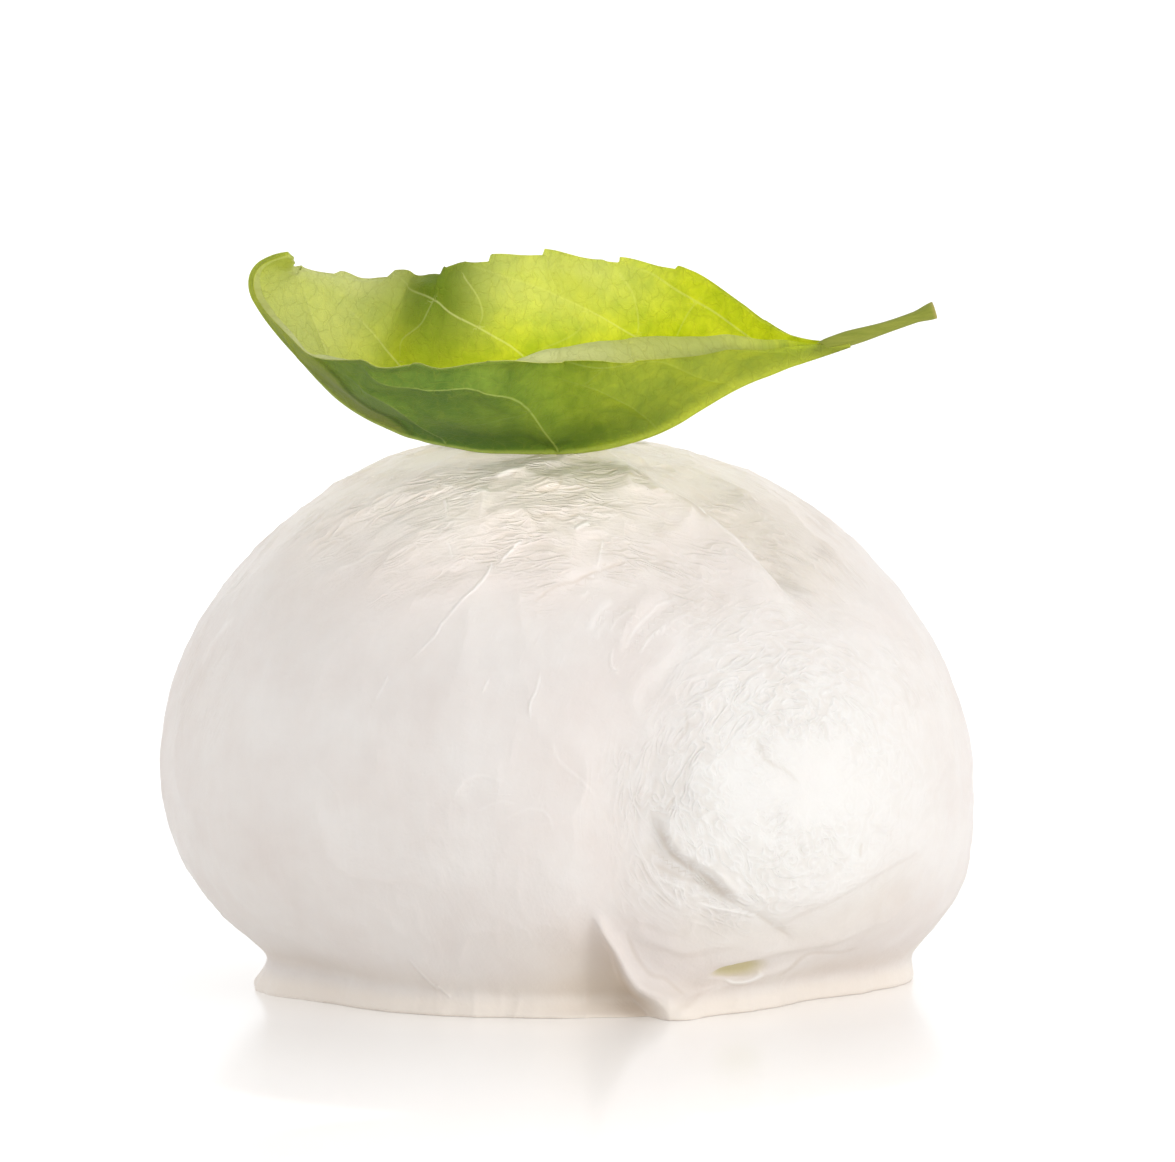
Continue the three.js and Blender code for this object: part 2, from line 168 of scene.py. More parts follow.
# Thin lines in the skin: (points, strength, half width). They are raised white threads, or creases where the
# strength is negative.
THREADS = (
    ([(-4.2, 45.6), (-5.3, 44.7), (-6.4, 43.5)], 0.9, 0.26),
    (
        [(-7.1, 43.9), (-7.4, 42.6), (-8.6, 41.2), (-10.2, 39.7)]
        + [(-11.9, 37.8), (-12.6, 36.6), (-15.2, 34.2)],
        *(0.75, 0.24),
    ),
    ([(-11.4, 45.4), (-11.1, 44.6), (-10.9, 43.7)], 0.4, 0.24),
    (
        [(-3.5, 39.6), (-1.9, 40.8), (-0.6, 41.5), (0.9, 41.9), (2.6, 42.6), (4.5, 43.2), (6.5, 43.7)],
        *(-0.4, 0.24),
    ),
    ([(2.9, 42.6), (3.2, 44.3), (3.5, 45.6)], 0.4, 0.24),
    ([(1.3, 40.4), (2.2, 41.2)], 0.35, 0.4),
    ([(2.2, 37.4), (2.6, 38.6), (3.5, 39.6), (4.4, 40.2)], 0.5, 0.6),
    ([(2.8, 36.4), (3.2, 37.4), (4.0, 38.4)], 0.3, 0.45),
    ([(4.0, 37.0), (4.6, 38.2), (5.6, 38.9), (6.4, 39.2)], 0.4, 0.34),
    ([(5.5, 35.6), (6.4, 37.4), (8.0, 39.0), (8.9, 39.8), (11.0, 40.3)], 0.45, 0.3),
    ([(8.6, 36.7), (10.2, 38.2), (12.2, 39.0)], 0.25, 0.28),
    ([(9.8, 36.2), (11.7, 37.8), (13.6, 38.2)], 0.2, 0.28),
    (
        [(3.4, 52.9), (5.2, 52.1), (7.1, 51.3), (9.4, 50.1), (11.3, 48.8), (13.2, 47.2)]
        + [(15.8, 45.8), (19.3, 42.1)],
        *(0.6, 0.5),
    ),
    ([(9.8, 49.2), (11.5, 47.9), (13.3, 46.5)], -0.6, 0.45),
    ([(-7.0, 51.2), (-5.3, 51.6), (-3.6, 51.9)], 0.9, 0.3),
    (
        [(-5.0, 48.9), (-3.9, 50.0), (-2.2, 50.0), (-0.9, 50.2), (-0.5, 50.9), (-1.6, 51.3), (-3.4, 51.2)],
        *(-0.35, 0.3),
    ),
    ([(-10.0, 51.4), (-8.8, 52.2), (-6.8, 52.6), (-4.9, 52.7)], -0.4, 0.35),
    ([(-11.8, 49.2), (-11.6, 48.6), (-11.5, 47.6)], 0.4, 0.26),
    ([(-22.6, 42.6), (-20.3, 43.4), (-19.0, 44.2), (-17.3, 44.4)], 0.4, 0.25),
    ([(-12.4, 46.0), (-10.9, 47.3), (-9.0, 48.3)], 0.35, 0.3),
    ([(0.7, 46.5), (1.8, 46.9), (2.2, 46.8)], 0.9, 0.4),
    ([(-18.1, 48.5), (-16.5, 49.5), (-15.1, 49.8)], 0.4, 0.3),
    ([(-3.6, 47.5), (-1.9, 47.9), (-0.3, 47.5), (1.2, 47.9)], -0.45, 0.32),
    ([(-9.4, 49.6), (-8.2, 49.8), (-7.4, 49.9)], 0.9, 0.34),
    ([(9.9, 26.3), (10.6, 27.3), (11.3, 28.3), (11.2, 29.9)], -0.25, 0.28),
    ([(17.4, 27.3), (18.0, 26.4), (18.7, 24.8), (20.3, 24.0), (21.6, 22.6)], -0.2, 0.22),
    ([(18.0, 25.3), (19.5, 24.6)], -0.5, 0.2),
    ([(9.2, 20.4), (10.2, 22.1)], -0.5, 0.25),
    ([(27.6, 15.4), (27.8, 16.8)], -0.3, 0.3),
    ([(19.6, 9.2), (22.8, 10.5), (27.5, 12.3), (31.6, 14.0), (35.0, 15.5)], -0.12, 0.4),
    ([(8.5, 19.9), (9.6, 17.1), (11.2, 15.5), (12.7, 14.6), (14.1, 13.3), (15.2, 11.9)], -0.5, 0.5),
    ([(9.0, 20.0), (10.2, 17.6), (11.8, 16.3), (13.3, 15.4), (14.8, 14.1), (15.9, 12.8)], 0.6, 0.6),
    ([(11.9, 12.0), (14.0, 11.3), (15.7, 11.0), (18.0, 10.3)], 0.9, 0.28),
    ([(14.6, 12.4), (16.1, 11.6), (17.8, 10.6), (19.8, 9.1), (22.0, 7.3)], -0.25, 0.36),
    ([(8.1, 15.6), (10.4, 14.4), (12.4, 13.8), (14.4, 12.3)], -0.35, 0.4),
    ([(8.2, 14.4), (10.2, 13.5), (11.6, 12.9)], 0.5, 0.28),
    ([(9.4, 13.4), (11.2, 12.4), (12.6, 12.6)], 0.35, 0.24),
    ([(19.8, 3.1), (21.6, 4.1), (23.6, 5.3), (26.5, 5.0), (28.5, 5.4)], -0.4, 0.34),
    ([(15.0, 3.5), (16.0, 3.1), (17.2, 3.1), (18.3, 3.5), (18.9, 4.1)], 1.1, 0.36),
    ([(5.7, 8.9), (6.5, 6.6), (7.3, 5.2), (8.1, 4.4), (9.3, 4.0), (10.1, 3.0), (10.9, 2.0)], -0.3, 0.4),
    ([(-15.4, 5.7), (-14.0, 4.2), (-13.0, 3.1), (-12.0, 2.4)], 0.8, 0.3),
    ([(-12.4, 3.0), (-11.0, 1.7)], 0.6, 0.25),
    ([(-2.5, 33.4), (-2.8, 31.8), (-3.4, 30.6), (-3.4, 29.4)], 0.7, 0.26),
    ([(-7.3, 33.0), (-7.9, 31.6)], 0.5, 0.26),
    ([(-17.0, 33.0), (-18.3, 30.7)], 0.4, 0.26),
    ([(-1.3, 27.6), (-0.8, 25.6), (1.2, 23.8), (3.2, 21.8)], 0.25, 0.34),
    ([(4.4, 35.8), (4.2, 34.2), (5.0, 33.4)], 0.45, 0.28),
    ([(6.9, 35.2), (7.8, 36.6), (9.7, 38.0)], 0.5, 0.28),
    ([(-32.0, 37.5), (-34.2, 35.0), (-35.8, 32.3)], 0.5, 0.32),
    ([(-10.8, 21.8), (-9.6, 23.4), (-8.1, 24.0), (-5.7, 23.4)], 0.25, 0.3),
    ([(-6.4, 19.6), (-3.4, 21.0), (-1.6, 20.2), (-1.2, 18.6)], 0.22, 0.3),
    ([(-8.6, 20.6), (-6.2, 21.6), (-4.6, 21.2)], 0.2, 0.26),
    ([(-24.5, 24.5), (-22.0, 22.0), (-21.5, 19.0)], 0.12, 0.4),
)
TEAR = (16.6, 4.45)  # the middle of the torn place
TEAR_HALF = (2.7, 0.75)


def torn(x, z):
    """How deep a place lies in the tear, from 0 to 1: pointed on the left, and higher on the right."""
    across = (x - TEAR[0]) / TEAR_HALF[0]
    up = (z - TEAR[1] - 0.25 * across) / (TEAR_HALF[1] * (1 + 0.35 * across))
    return ramp(1.25, 0.5, np.hypot(across, up))


# The rest of the front, in the same view: the valley between the two lobes as (x, half width, depth), the
# fuller right lobe as (x, z, half width, half height, swell), the tuck below it, and the hollow beside the
# ridge near the crown. The right lobe's wrinkles run round its middle.
VALLEY = (6.0, 5.0, 1.5)
RIGHT_LOBE = (22, 21, 12, 13, 1.4)
TUCK = ((11, 8.5), (17, 7.6), (24, 7.6), (31, 10.5))
TOP_HOLLOW = ((12.5, 51.5), (18.5, 47.5), (24.0, 42.5))
LOBE_MIDDLE = (21.5, 22)
# Pleats run down from the crown, each with a hollow on one side: (angle, turn, high, low, swell, dip, width).
PLEATS = (
    (-48.5, 1.0, 53, 40, 0.6, 1.2, 3.5),
    (38, -0.4, 51, 30, 0.6, 0.9, 4.5),
    (118, 0.5, 52, 26, 0.8, 1.2, 5),
    (204, -0.4, 50, 34, 0.4, 0.5, 4.5),
)
# Where the foot's edge lies farther out, or in, round the ball: (angle, width in degrees, millimetres).
FOOT_SWELLS = ((16, 23, 5.4), (-170, 17, 0.6), (95, 38, 2.4), (-33, 15, -2.6), (-146, 13, -1.5))
SKIRT = {  # the foot's edge at shares of its height: how far out, how much it flares, how far to the waist
    "height": [0, 0.04, 0.12, 0.4, 0.68, 0.86, 0.97],
    "out": [-0.12, -0.04, 0, -0.05, -0.2, -0.25, -0.25],
    "flare": [1, 0.9, 0.7, 0.15, 0, 0, 0],
    "inward": [0, 0, 0, 0.12, 0.4, 0.72, 0.96],
}
UNDERSIDE = (0.5, 0.9, 0.975, 0.992)  # rings of the flat underside, as shares of the foot's edge
COLUMNS = 548
SKIRT_ROWS = 14
BELLY_ROWS = 72
DOME_ROWS = 90
WAIST_SOFTNESS = 40


def bare_ball():
    """The ball before it folds: the angles and waist of its columns, and the radius, place and
    outward way of its points."""
    turn = (np.arange(COLUMNS) + 0.5) / COLUMNS * 2 * np.pi
    angle = 102 + (turn + 0.52 * np.sin(turn)) / DEGREE  # the columns crowd towards the folds
    c, s = np.cos(angle * DEGREE), np.sin(angle * DEGREE)
    foot = FOOT_RADIUS + sum(out * hill_round(angle, centre, width) for centre, width, out in FOOT_SWELLS)
    waist = foot - 0.75 + 0.4 * c
    waist_height = FOOT_HEIGHT - 0.4 * c - 0.9 * hill_round(angle, -95, 42)
    belly = 1 / np.hypot(2 * c / BALL_WIDTH, 2 * s / BALL_DEPTH)
    belly_height = BELLY_HEIGHT - 1.05 * c
    rim = np.linspace(0, 0.97, SKIRT_ROWS)[:, None]
    skirt = {key: np.interp(rim, SKIRT["height"], SKIRT[key]) for key in ("out", "flare", "inward")}
    flare = 0.7 * hill_round(angle, 180, 30)
    up = (np.arange(BELLY_ROWS)[:, None] / BELLY_ROWS) ** 1.3
    high = np.sin(np.arange(DOME_ROWS)[:, None] / DOME_ROWS * np.pi / 2)
    dome = belly * np.sqrt(1 - high ** (1.88 + 0.07 * c))
    radius = np.vstack(
        [
            mix(foot + skirt["out"] + flare * skirt["flare"], waist, skirt["inward"]),
            mix(belly, waist, (1 - up) ** (2.6 + 0.45 * c)),
            dome,
        ]
    )
    z = np.vstack(
        [
            rim * waist_height,
            mix(waist_height, belly_height, up),
            mix(belly_height, BALL_HEIGHT, high) - CROWN_DROP * hill(dome, CROWN_RADIUS),
        ]
    )
    for _ in range(WAIST_SOFTNESS):  # the skin turns from the ball into the foot in a soft hollow
        for rows in (radius, z):
            rows[5:44] = 0.25 * rows[4:43] + 0.5 * rows[5:44] + 0.25 * rows[6:45]
    leaning = np.maximum(0, (z - BELLY_HEIGHT) / (BALL_HEIGHT - BELLY_HEIGHT)) ** 2
    place = np.stack([radius * c + CROWN_LEAN * leaning, radius * s, z], -1)
    steepness = (z - belly_height) / (BALL_HEIGHT - BELLY_HEIGHT) ** 2
    steepness *= ramp(1.5, 9, z)  # the folds stand straight out from the foot
    steepness[:SKIRT_ROWS] = 0
    sideways = (2 / BALL_WIDTH) ** 2, (2 / BALL_DEPTH) ** 2
    outward = np.stack([radius * c * sideways[0], radius * s * sideways[1], steepness], -1)
    outward /= np.linalg.norm(outward, axis=-1, keepdims=True)
    return angle, waist_height, radius, place, outward


def main_folds(x, z):
    """How far the front stands out at the ridge, the valley, the right lobe and the tuck below it."""
    valley_x, valley_width, valley_depth = VALLEY
    lobe_x, lobe_z, half_width, half_height, swell = RIGHT_LOBE
    out = ridge_and_pocket(x, z)
    out -= valley_depth * hill(x - valley_x, valley_width) * ramp(38, 20, z) * ramp(1.5, 6, z)
    out += swell * hill(x - lobe_x, half_width) * hill(z - lobe_z, half_height)
    return out - 0.6 * hill(beside(TUCK, x, z)[0], 2.4) * ramp(9, 13, x)


def layered(x, z):
    """How far the front stands out where its layers of skin end."""
    out = np.zeros(x.shape)
    for line, over, under, reach, softness in STEPS:
        distance, along = beside(eased(line), x, z)
        ends = ramp(0, 0.2, along) * ramp(1, 0.8, along)
        step = np.tanh(distance / softness) * np.where(distance > 0, over, under)
        out += ends * step * hill(distance, reach)
    return out


def threaded(x, z):
    """How far threads and creases stand out, and where and how strong the nearest one is."""
    out = np.zeros(x.shape)
    beside_thread = np.full(x.shape, 9.0)  # in half widths of the thread
    strongest = np.zeros(x.shape)
    for line, strength, half_width in THREADS:
        distance, along = beside(eased(line), x, z)
        here = strength * ramp(0, 0.14, along) * ramp(1, 0.86, along)
        here = here * (0.55 + 0.9 * lumps(x / 1.7, z / 1.7, 4.4))
        out += 0.1 * here * hill(distance, max(half_width, 0.34))
        closer = np.abs(distance / half_width) < np.abs(beside_thread)
        beside_thread = np.where(closer, distance / half_width, beside_thread)
        strongest = np.where(closer, here * hill(distance, 3.2 * half_width), strongest)
    return out, beside_thread, strongest


def pleated(angle, radius, z):
    """How far the skin stands out in pleats below the crown and in soft uneven swellings all round."""
    out = np.zeros(z.shape)
    for centre, twist, high_end, low_end, swell, dip, width in PLEATS:
        off = (angle - centre + twist * (z - low_end) + 540) % 360 - 180
        across = off * DEGREE * radius
        fade = ramp(low_end - 3, low_end + 5, z) * ramp(high_end + 1, high_end - 5, z)
        out += fade * (swell * hill(across, width * 0.8) - dip * hill(across - width * 1.6, width))
    three = 0.5 * np.sin(3 * angle * DEGREE) * hill(z - 26, 14)
    four = 0.4 * np.sin(4 * angle * DEGREE) * hill(z - 13, 10)
    return out + (three + four) * ramp(2, 7, z)


def drawn_over(x, z):
    """How far (x, z) lies round the ball from side to side, and how far out, as the fibres run."""
    return np.arctan2(x, z - 8) * 40, np.hypot(x, z - 8)


def round_lobe(x, z):
    """Where (x, z) lies on a ring round the right lobe's middle, and how far from it."""
    from_x, from_z = x - LOBE_MIDDLE[0], z - LOBE_MIDDLE[1]
    from_lobe = np.hypot(from_x, from_z) + 1e-6
    return from_x / from_lobe * 13, from_z / from_lobe * 13, from_lobe


def crumpled_part(x, y, z, from_lobe):
    """Where the skin is crumpled: in an uneven ring round the right lobe's middle, mostly on its left."""
    uneven = from_lobe + 7 * (lumps(x / 5 + 3, y / 9, z / 5) - 0.5)
    uneven += 4 * (lumps(x / 2 + 3, y / 9, z / 2) - 0.5)
    leftward = ramp(-14, 6, LOBE_MIDDLE[0] - x + 0.5 * (z - LOBE_MIDDLE[1]))
    return ramp(1.5, 8, uneven) * ramp(21, 10, uneven) * ramp(6, 13, z) * mix(0.3, 1, leftward)


def fibrous_part(x, y, z):
    """Where the skin is drawn into fibres: in patches below the crown, in its hollow, and at the sides."""
    patchy = 7 * (lumps(x / 7, y / 7, z / 7) - 0.5) + 4 * (lumps(x / 3, y / 3, z / 3) - 0.5)
    in_hollow = 0.9 * hill(beside(TOP_HOLLOW, x, z)[0], 6) * ramp(30, 44, z)
    at_sides = 0.4 * ramp(29, 36, np.abs(x)) * ramp(20, 32, z)
    return np.maximum(np.maximum(ramp(33, 52, z + patchy), in_hollow), at_sides)


def relief(angle, place, crumpled, fibrous):
    """The skin's own relief: wrinkles, fibres, a few faint creases, and the foot edge's short folds."""
    x, y, z = np.moveaxis(place, -1, 0)
    ring_x, ring_z, from_lobe = round_lobe(x, z)
    out = 0.26 * crumpled * creases(ring_x / 6 + 8, ring_z / 6 + 8, from_lobe / 2.6)
    out += 0.13 * crumpled * creases(ring_x / 2.6 + 40, ring_z / 2.6 + 9, from_lobe / 1.2)
    over, away = drawn_over(x, z)
    out += 0.34 * fibrous * creases(over / 5, away / 2.4 + 17, y / 3.0)
    out += 0.17 * fibrous * creases(over / 2.2 + 5, away / 1.3, y / 1.5 + 31)
    out += 0.5 * fibrous * (lumps(over / 6 + 5, away / 3 + 9, y / 3.4 + 3) - 0.5) * ramp(8, 14, np.abs(y))
    calm = ramp(2.5, 8, z) * (1 - 0.7 * crumpled) * (1 - fibrous)
    out += 0.26 * calm * creases(x / 6 + 3, y / 6 + 8, z / 7.5)
    out += 0.1 * calm * creases(x / 2.4 + 13, y / 2.4 + 8, z / 2.8)
    out += 0.45 * ramp(1, 6, z) * (lumps(x / 9 + 50, y / 9, z / 9) - 0.5)
    around = angle * DEGREE * 30
    uneven_edge = 0.8 * (lumps(around / 4, 3.3, z / 9) - 0.5)
    uneven_edge += 0.3 * (lumps(around / 1.5, 8.3, z / 4) - 0.5)
    uneven_edge += 0.16 * creases(around / 2.2, 7.7, z / 6)
    return out + ramp(4.5, 1.2, z) * uneven_edge


def cheese_rings():
    """The skin's points by row and column, and the marks that its material reads at each of them."""
    angle, waist_height, radius, place, outward = bare_ball()
    x, y, z = np.moveaxis(place, -1, 0)
    front = ramp(0.05, 0.45, -outward[..., 1])
    threads_out, thread_side, thread = threaded(x, z)
    tear = torn(x, z) * front
    folds = front * (main_folds(x, z) + layered(x, z) + threads_out - 0.9 * tear)
    beside_it = np.mean([np.roll(folds, k, axis=1) for k in (-1, 0, 1)], axis=0)
    out = mix(beside_it, folds, ramp(0.6, 3.0, z))  # the foot's edge is rounder than the folds above it
    ring_x, ring_z, from_lobe = round_lobe(x, z)
    crumpled = front * crumpled_part(x, y, z, from_lobe)
    fibrous = fibrous_part(x, y, z)
    out += pleated(angle, radius, z) + relief(angle, place, crumpled, fibrous)
    points = place + outward * out[..., None]
    points[0, :, 2] = 0

    # Painted shade, creamy in colour, goes in the pocket, above the foot, in the tuck and in the top hollow.
    beside_ridge = beside(eased(RIDGE), x, z)[0]
    hollow = front * ramp(0.3, -0.4, beside_ridge) * hill(beside_ridge, 8) * ramp(12, 2, z)
    hollow += 0.32 * hill(z - waist_height - 0.7, 1.3) * ramp(0.2, 1.2, z)
    hollow += 0.35 * front * hill(beside(TUCK, x, z)[0], 3) * ramp(8, 13, x)
    hollow += 0.35 * front * hill(beside(TOP_HOLLOW, x, z)[0], 4) * ramp(36, 42, z)
    over, away = drawn_over(x, z)
    marks = {
        "hollow": hollow,
        "tear": tear,
        "fibres": fibrous,
        "crumple": crumpled,
        "thread": front * thread,
        "thread_side": thread_side,
        "over": over,
        "away": away,
        "ring_x": ring_x,
        "ring_z": ring_z,
        "from_lobe": from_lobe,
        "near_table": ramp(2.6, 0.9, z),
    }
    under = [points[0] * [share, share, 0] for share in UNDERSIDE]
    for name, values in marks.items():
        marks[name] = np.vstack([values[:1]] * len(UNDERSIDE) + [values])
    return np.vstack([under, points]), marks


def closed_skin(name, rings, first, last, marks):
    """A mesh from rings of points in millimetres, closed at both ends, that carries a value for each mark."""
    count, around = rings.shape[:2]
    here = np.arange((count - 1) * around).reshape(-1, around)
    after = np.roll(here, -1, axis=1)
    quads = np.stack([here, after, after + around, here + around], -1)
    first_index = count * around
    ends = np.arange(around)
    low = np.stack([np.full(around, first_index), np.roll(ends, -1), ends], -1)
    top = (count - 1) * around
    high = np.stack([np.full(around, first_index + 1), top + ends, top + np.roll(ends, -1)], -1)
    points = np.vstack([rings.reshape(-1, 3), [first], [last]]) + OVER_ORIGIN
    mesh = bpy.data.meshes.new(name)
    faces = quads.reshape(-1, 4).tolist() + low.tolist() + high.tolist()
    mesh.from_pydata((points * MM).tolist(), [], faces)
    mesh.shade_smooth()
    mesh.set_sharp_from_angle(angle=75 * DEGREE)
    for mark, values in marks.items():
        layer = mesh.attributes.new(mark, "FLOAT", "POINT")
        ends_too = np.append(np.ravel(values), [np.mean(values[0]), np.mean(values[-1])])
        layer.data.foreach_set("value", ends_too.astype(np.float32))
    piece = bpy.data.objects.new(name, mesh)
    bpy.context.scene.collection.objects.link(piece)
    return piece


rings, skin_marks = cheese_rings()
crown = [CROWN_LEAN, 0, np.mean(rings[-1, :, 2]) + 0.02]
cheese_skin = closed_skin("cheese_skin", rings, [0, 0, 0], crown, skin_marks)


def linear(colour):
    """A colour as the eye reads it, '#rrggbb', turned to the linear light that Blender works in."""
    parts = [int(colour[i : i + 2], 16) / 255 for i in (1, 3, 5)]
    return [p / 12.92 if p <= 0.04045 else ((p + 0.055) / 1.055) ** 2.4 for p in parts] + [1.0]


def add(tree, kind, sockets, **settings):
    """One node with its settings. Each socket gets a value, a colour, or the node or output that feeds it."""
    made = tree.nodes.new("ShaderNode" + kind)
    for name, value in settings.items():
        setattr(made, name, value)
    for name, value in sockets.items():
        if isinstance(value, bpy.types.Node):
            value = next(output for output in value.outputs if output.enabled)
        if isinstance(value, bpy.types.NodeSocket):
            tree.links.new(value, made.inputs[name])
        else:
            made.inputs[name].default_value = linear(value) if isinstance(value, str) else value
    return made


def new_material(name):
    material = bpy.data.materials.new(name)
    material.use_nodes = True
    material.node_tree.nodes.clear()
    return material, material.node_tree


def read_marks(tree, names):
    """What feeds a material each of the marks that the mesh carries."""
    return {name: add(tree, "Attribute", {}, attribute_name=name).outputs["Fac"] for name in names}


# Stretched curd, wet with whey: milk white and a little see-through, so light spreads in it and every shadow
# is soft. Painted shade makes it creamier and darker in the folds and hollows, and painted light makes it
# whiter on the right lobe and at the foot. Its drawn fibres near the crown carry a warm tint that is partly
# painted shade from the leaf. The low places between the fibres and the small wrinkles on the lobe hold a
# painted grey shade, and threads stand out with a painted white highlight.
# In a colour Mix node, sockets 6 and 7 are the two colours.
FIBRE_WIDTH = 0.7  # millimetres across one drawn fibre
FIBRE_LENGTH = 2.4
FIBRE_PATCH = 4.5  # millimetres across one patch of stronger or fainter fibres
WRINKLE_WIDTH = 1.0  # millimetres from one small wrinkle to the next
WRINKLE_LENGTH = 2.3
GRAINS_PER_MM = 2.6  # coarser than the real grain, so that it shows
CLOUDS_PER_MM = 0.09  # soft clouds of whiter and greyer curd, about a centimetre across
curd, tree = new_material("stretched_curd")
mark = read_marks(tree, skin_marks)
place = add(tree, "TexCoord", {}).outputs["Object"]
in_mm = add(tree, "VectorMath", {0: place, 1: (1000, 1000, 1000)}, operation="MULTIPLY")
depth = add(tree, "SeparateXYZ", {0: in_mm}).outputs["Y"]

drawn = add(tree, "CombineXYZ", {"X": mark["over"], "Y": mark["away"], "Z": depth})
drawn_scale = (1 / FIBRE_LENGTH, 1 / FIBRE_WIDTH, 0.8 / FIBRE_WIDTH)
drawn_place = add(tree, "VectorMath", {0: drawn, 1: drawn_scale}, operation="MULTIPLY")
fibre_noise = add(
    tree,
    "TexNoise",
    {"Vector": drawn_place, "Scale": 0.7, "Detail": 4, "Roughness": 0.6, "Distortion": 1.6, "Offset": 0.9},
    noise_type="RIDGED_MULTIFRACTAL",
)
ringed = add(tree, "CombineXYZ", {"X": mark["ring_x"], "Y": mark["ring_z"], "Z": mark["from_lobe"]})
ringed_scale = (1 / WRINKLE_LENGTH, 1 / WRINKLE_LENGTH, 1 / WRINKLE_WIDTH)
ringed_place = add(tree, "VectorMath", {0: ringed, 1: ringed_scale}, operation="MULTIPLY")
wrinkle_noise = add(
    tree,
    "TexNoise",
    {"Vector": ringed_place, "Scale": 0.7, "Detail": 3, "Roughness": 0.55, "Distortion": 2, "Offset": 0.9},
    noise_type="RIDGED_MULTIFRACTAL",
)
grain_noise = add(tree, "TexNoise", {"Vector": in_mm, "Scale": GRAINS_PER_MM, "Detail": 3, "Roughness": 0.5})
cloud_noise = add(tree, "TexNoise", {"Vector": in_mm, "Scale": CLOUDS_PER_MM, "Detail": 3, "Roughness": 0.55})

cloud = add(tree, "MapRange", {"Value": cloud_noise, "From Min": 0.35, "From Max": 0.65})
milk = add(tree, "Mix", {"Factor": cloud, 6: "#eae5e1", 7: "#e4dcd7"}, data_type="RGBA")
# A warm tint on the drawn fibres: partly their creamier tone, partly painted warm shade under the leaf.
crown_part = add(tree, "Math", {0: mark["fibres"], 1: 0.45}, operation="MULTIPLY")
crown_tint_and_shade = add(tree, "Mix", {"Factor": crown_part, 6: milk, 7: "#e4dad1"}, data_type="RGBA")
# Painted light: the right lobe is whiter, where it catches the light.
lobe_light_part = add(
    tree,
    "MapRange",
    {"Value": mark["from_lobe"], "From Min": 8.0, "From Max": 19.0, "To Min": 0.7, "To Max": 0.0},
)
lobe_painted_light = add(tree, "Mix", {"Factor": lobe_light_part, 6: crown_tint_and_shade, 7: "#eeedea"}, data_type="RGBA")
# Painted shade in the hollows: a creamy beige.
hollow_shade_part = add(tree, "Math", {0: mark["hollow"], 1: 0.4}, operation="MULTIPLY")
hollow_shaded = add(tree, "Mix", {"Factor": hollow_shade_part, 6: lobe_painted_light, 7: "#d8c6ab"}, data_type="RGBA")
# Painted light: whiter at the foot, near the table.
foot_light_part = add(tree, "Math", {0: mark["near_table"], 1: 0.7}, operation="MULTIPLY")
foot_painted_light = add(tree, "Mix", {"Factor": foot_light_part, 6: hollow_shaded, 7: "#f6ece0"}, data_type="RGBA")

# Painted shade: the low places between fibres and wrinkles are greyer.
patches = add(tree, "TexNoise", {"Vector": in_mm, "Scale": 1 / FIBRE_PATCH, "Detail": 1.0})
fibre_strength = add(tree, "MapRange", {"Value": patches, "From Min": 0.38, "From Max": 0.62, "To Min": 0.2})
fibred = add(tree, "Math", {0: fibre_strength, 1: mark["fibres"]}, operation="MULTIPLY")
wrinkled = add(tree, "Math", {0: mark["crumple"], 1: 0.74, 2: 0.06}, operation="MULTIPLY_ADD")
shades = []
for noise, part in ((fibre_noise, fibred), (wrinkle_noise, wrinkled)):
    low = add(tree, "MapRange", {"Value": noise, "From Min": 0.2, "To Min": 1.0, "To Max": 0.0})
    shades.append(add(tree, "Math", {0: low, 1: part}, operation="MULTIPLY"))
low_places = add(tree, "Math", {0: shades[0], 1: shades[1]}, operation="ADD")
shade_part = add(tree, "Math", {0: low_places, 1: 0.26}, operation="MULTIPLY")
shaded = add(tree, "Mix", {"Factor": shade_part, 6: foot_painted_light, 7: "#c4b5a4"}, data_type="RGBA")

# Threads get a painted white highlight, creases get a painted yellowish shade, and the torn place is full of
# whey.
thread_gap = add(tree, "Math", {0: mark["thread_side"]}, operation="ABSOLUTE")
thread_line = add(
    tree, "MapRange", {"Value": thread_gap, "To Min": 1.0, "To Max": 0.0}, interpolation_type="SMOOTHSTEP"
)
raised = add(tree, "Math", {0: thread_line, 1: mark["thread"]}, operation="MULTIPLY")
white_part = add(tree, "Math", {0: raised, 1: 0.6}, operation="MULTIPLY")
white_clear = add(tree, "Math", {0: white_part, 1: 0.0}, operation="MAXIMUM")
thread_highlighted = add(tree, "Mix", {"Factor": white_clear, 6: shaded, 7: "#fbf8f4"}, data_type="RGBA")
crease_part = add(tree, "Math", {0: raised, 1: -0.5}, operation="MULTIPLY")
crease_clear = add(tree, "Math", {0: crease_part, 1: 0.0}, operation="MAXIMUM")
crease_shaded = add(tree, "Mix", {"Factor": crease_clear, 6: thread_highlighted, 7: "#b09a7c"}, data_type="RGBA")
whey = add(tree, "Mix", {"Factor": mark["tear"], 6: crease_shaded, 7: "#cbc19a"}, data_type="RGBA")

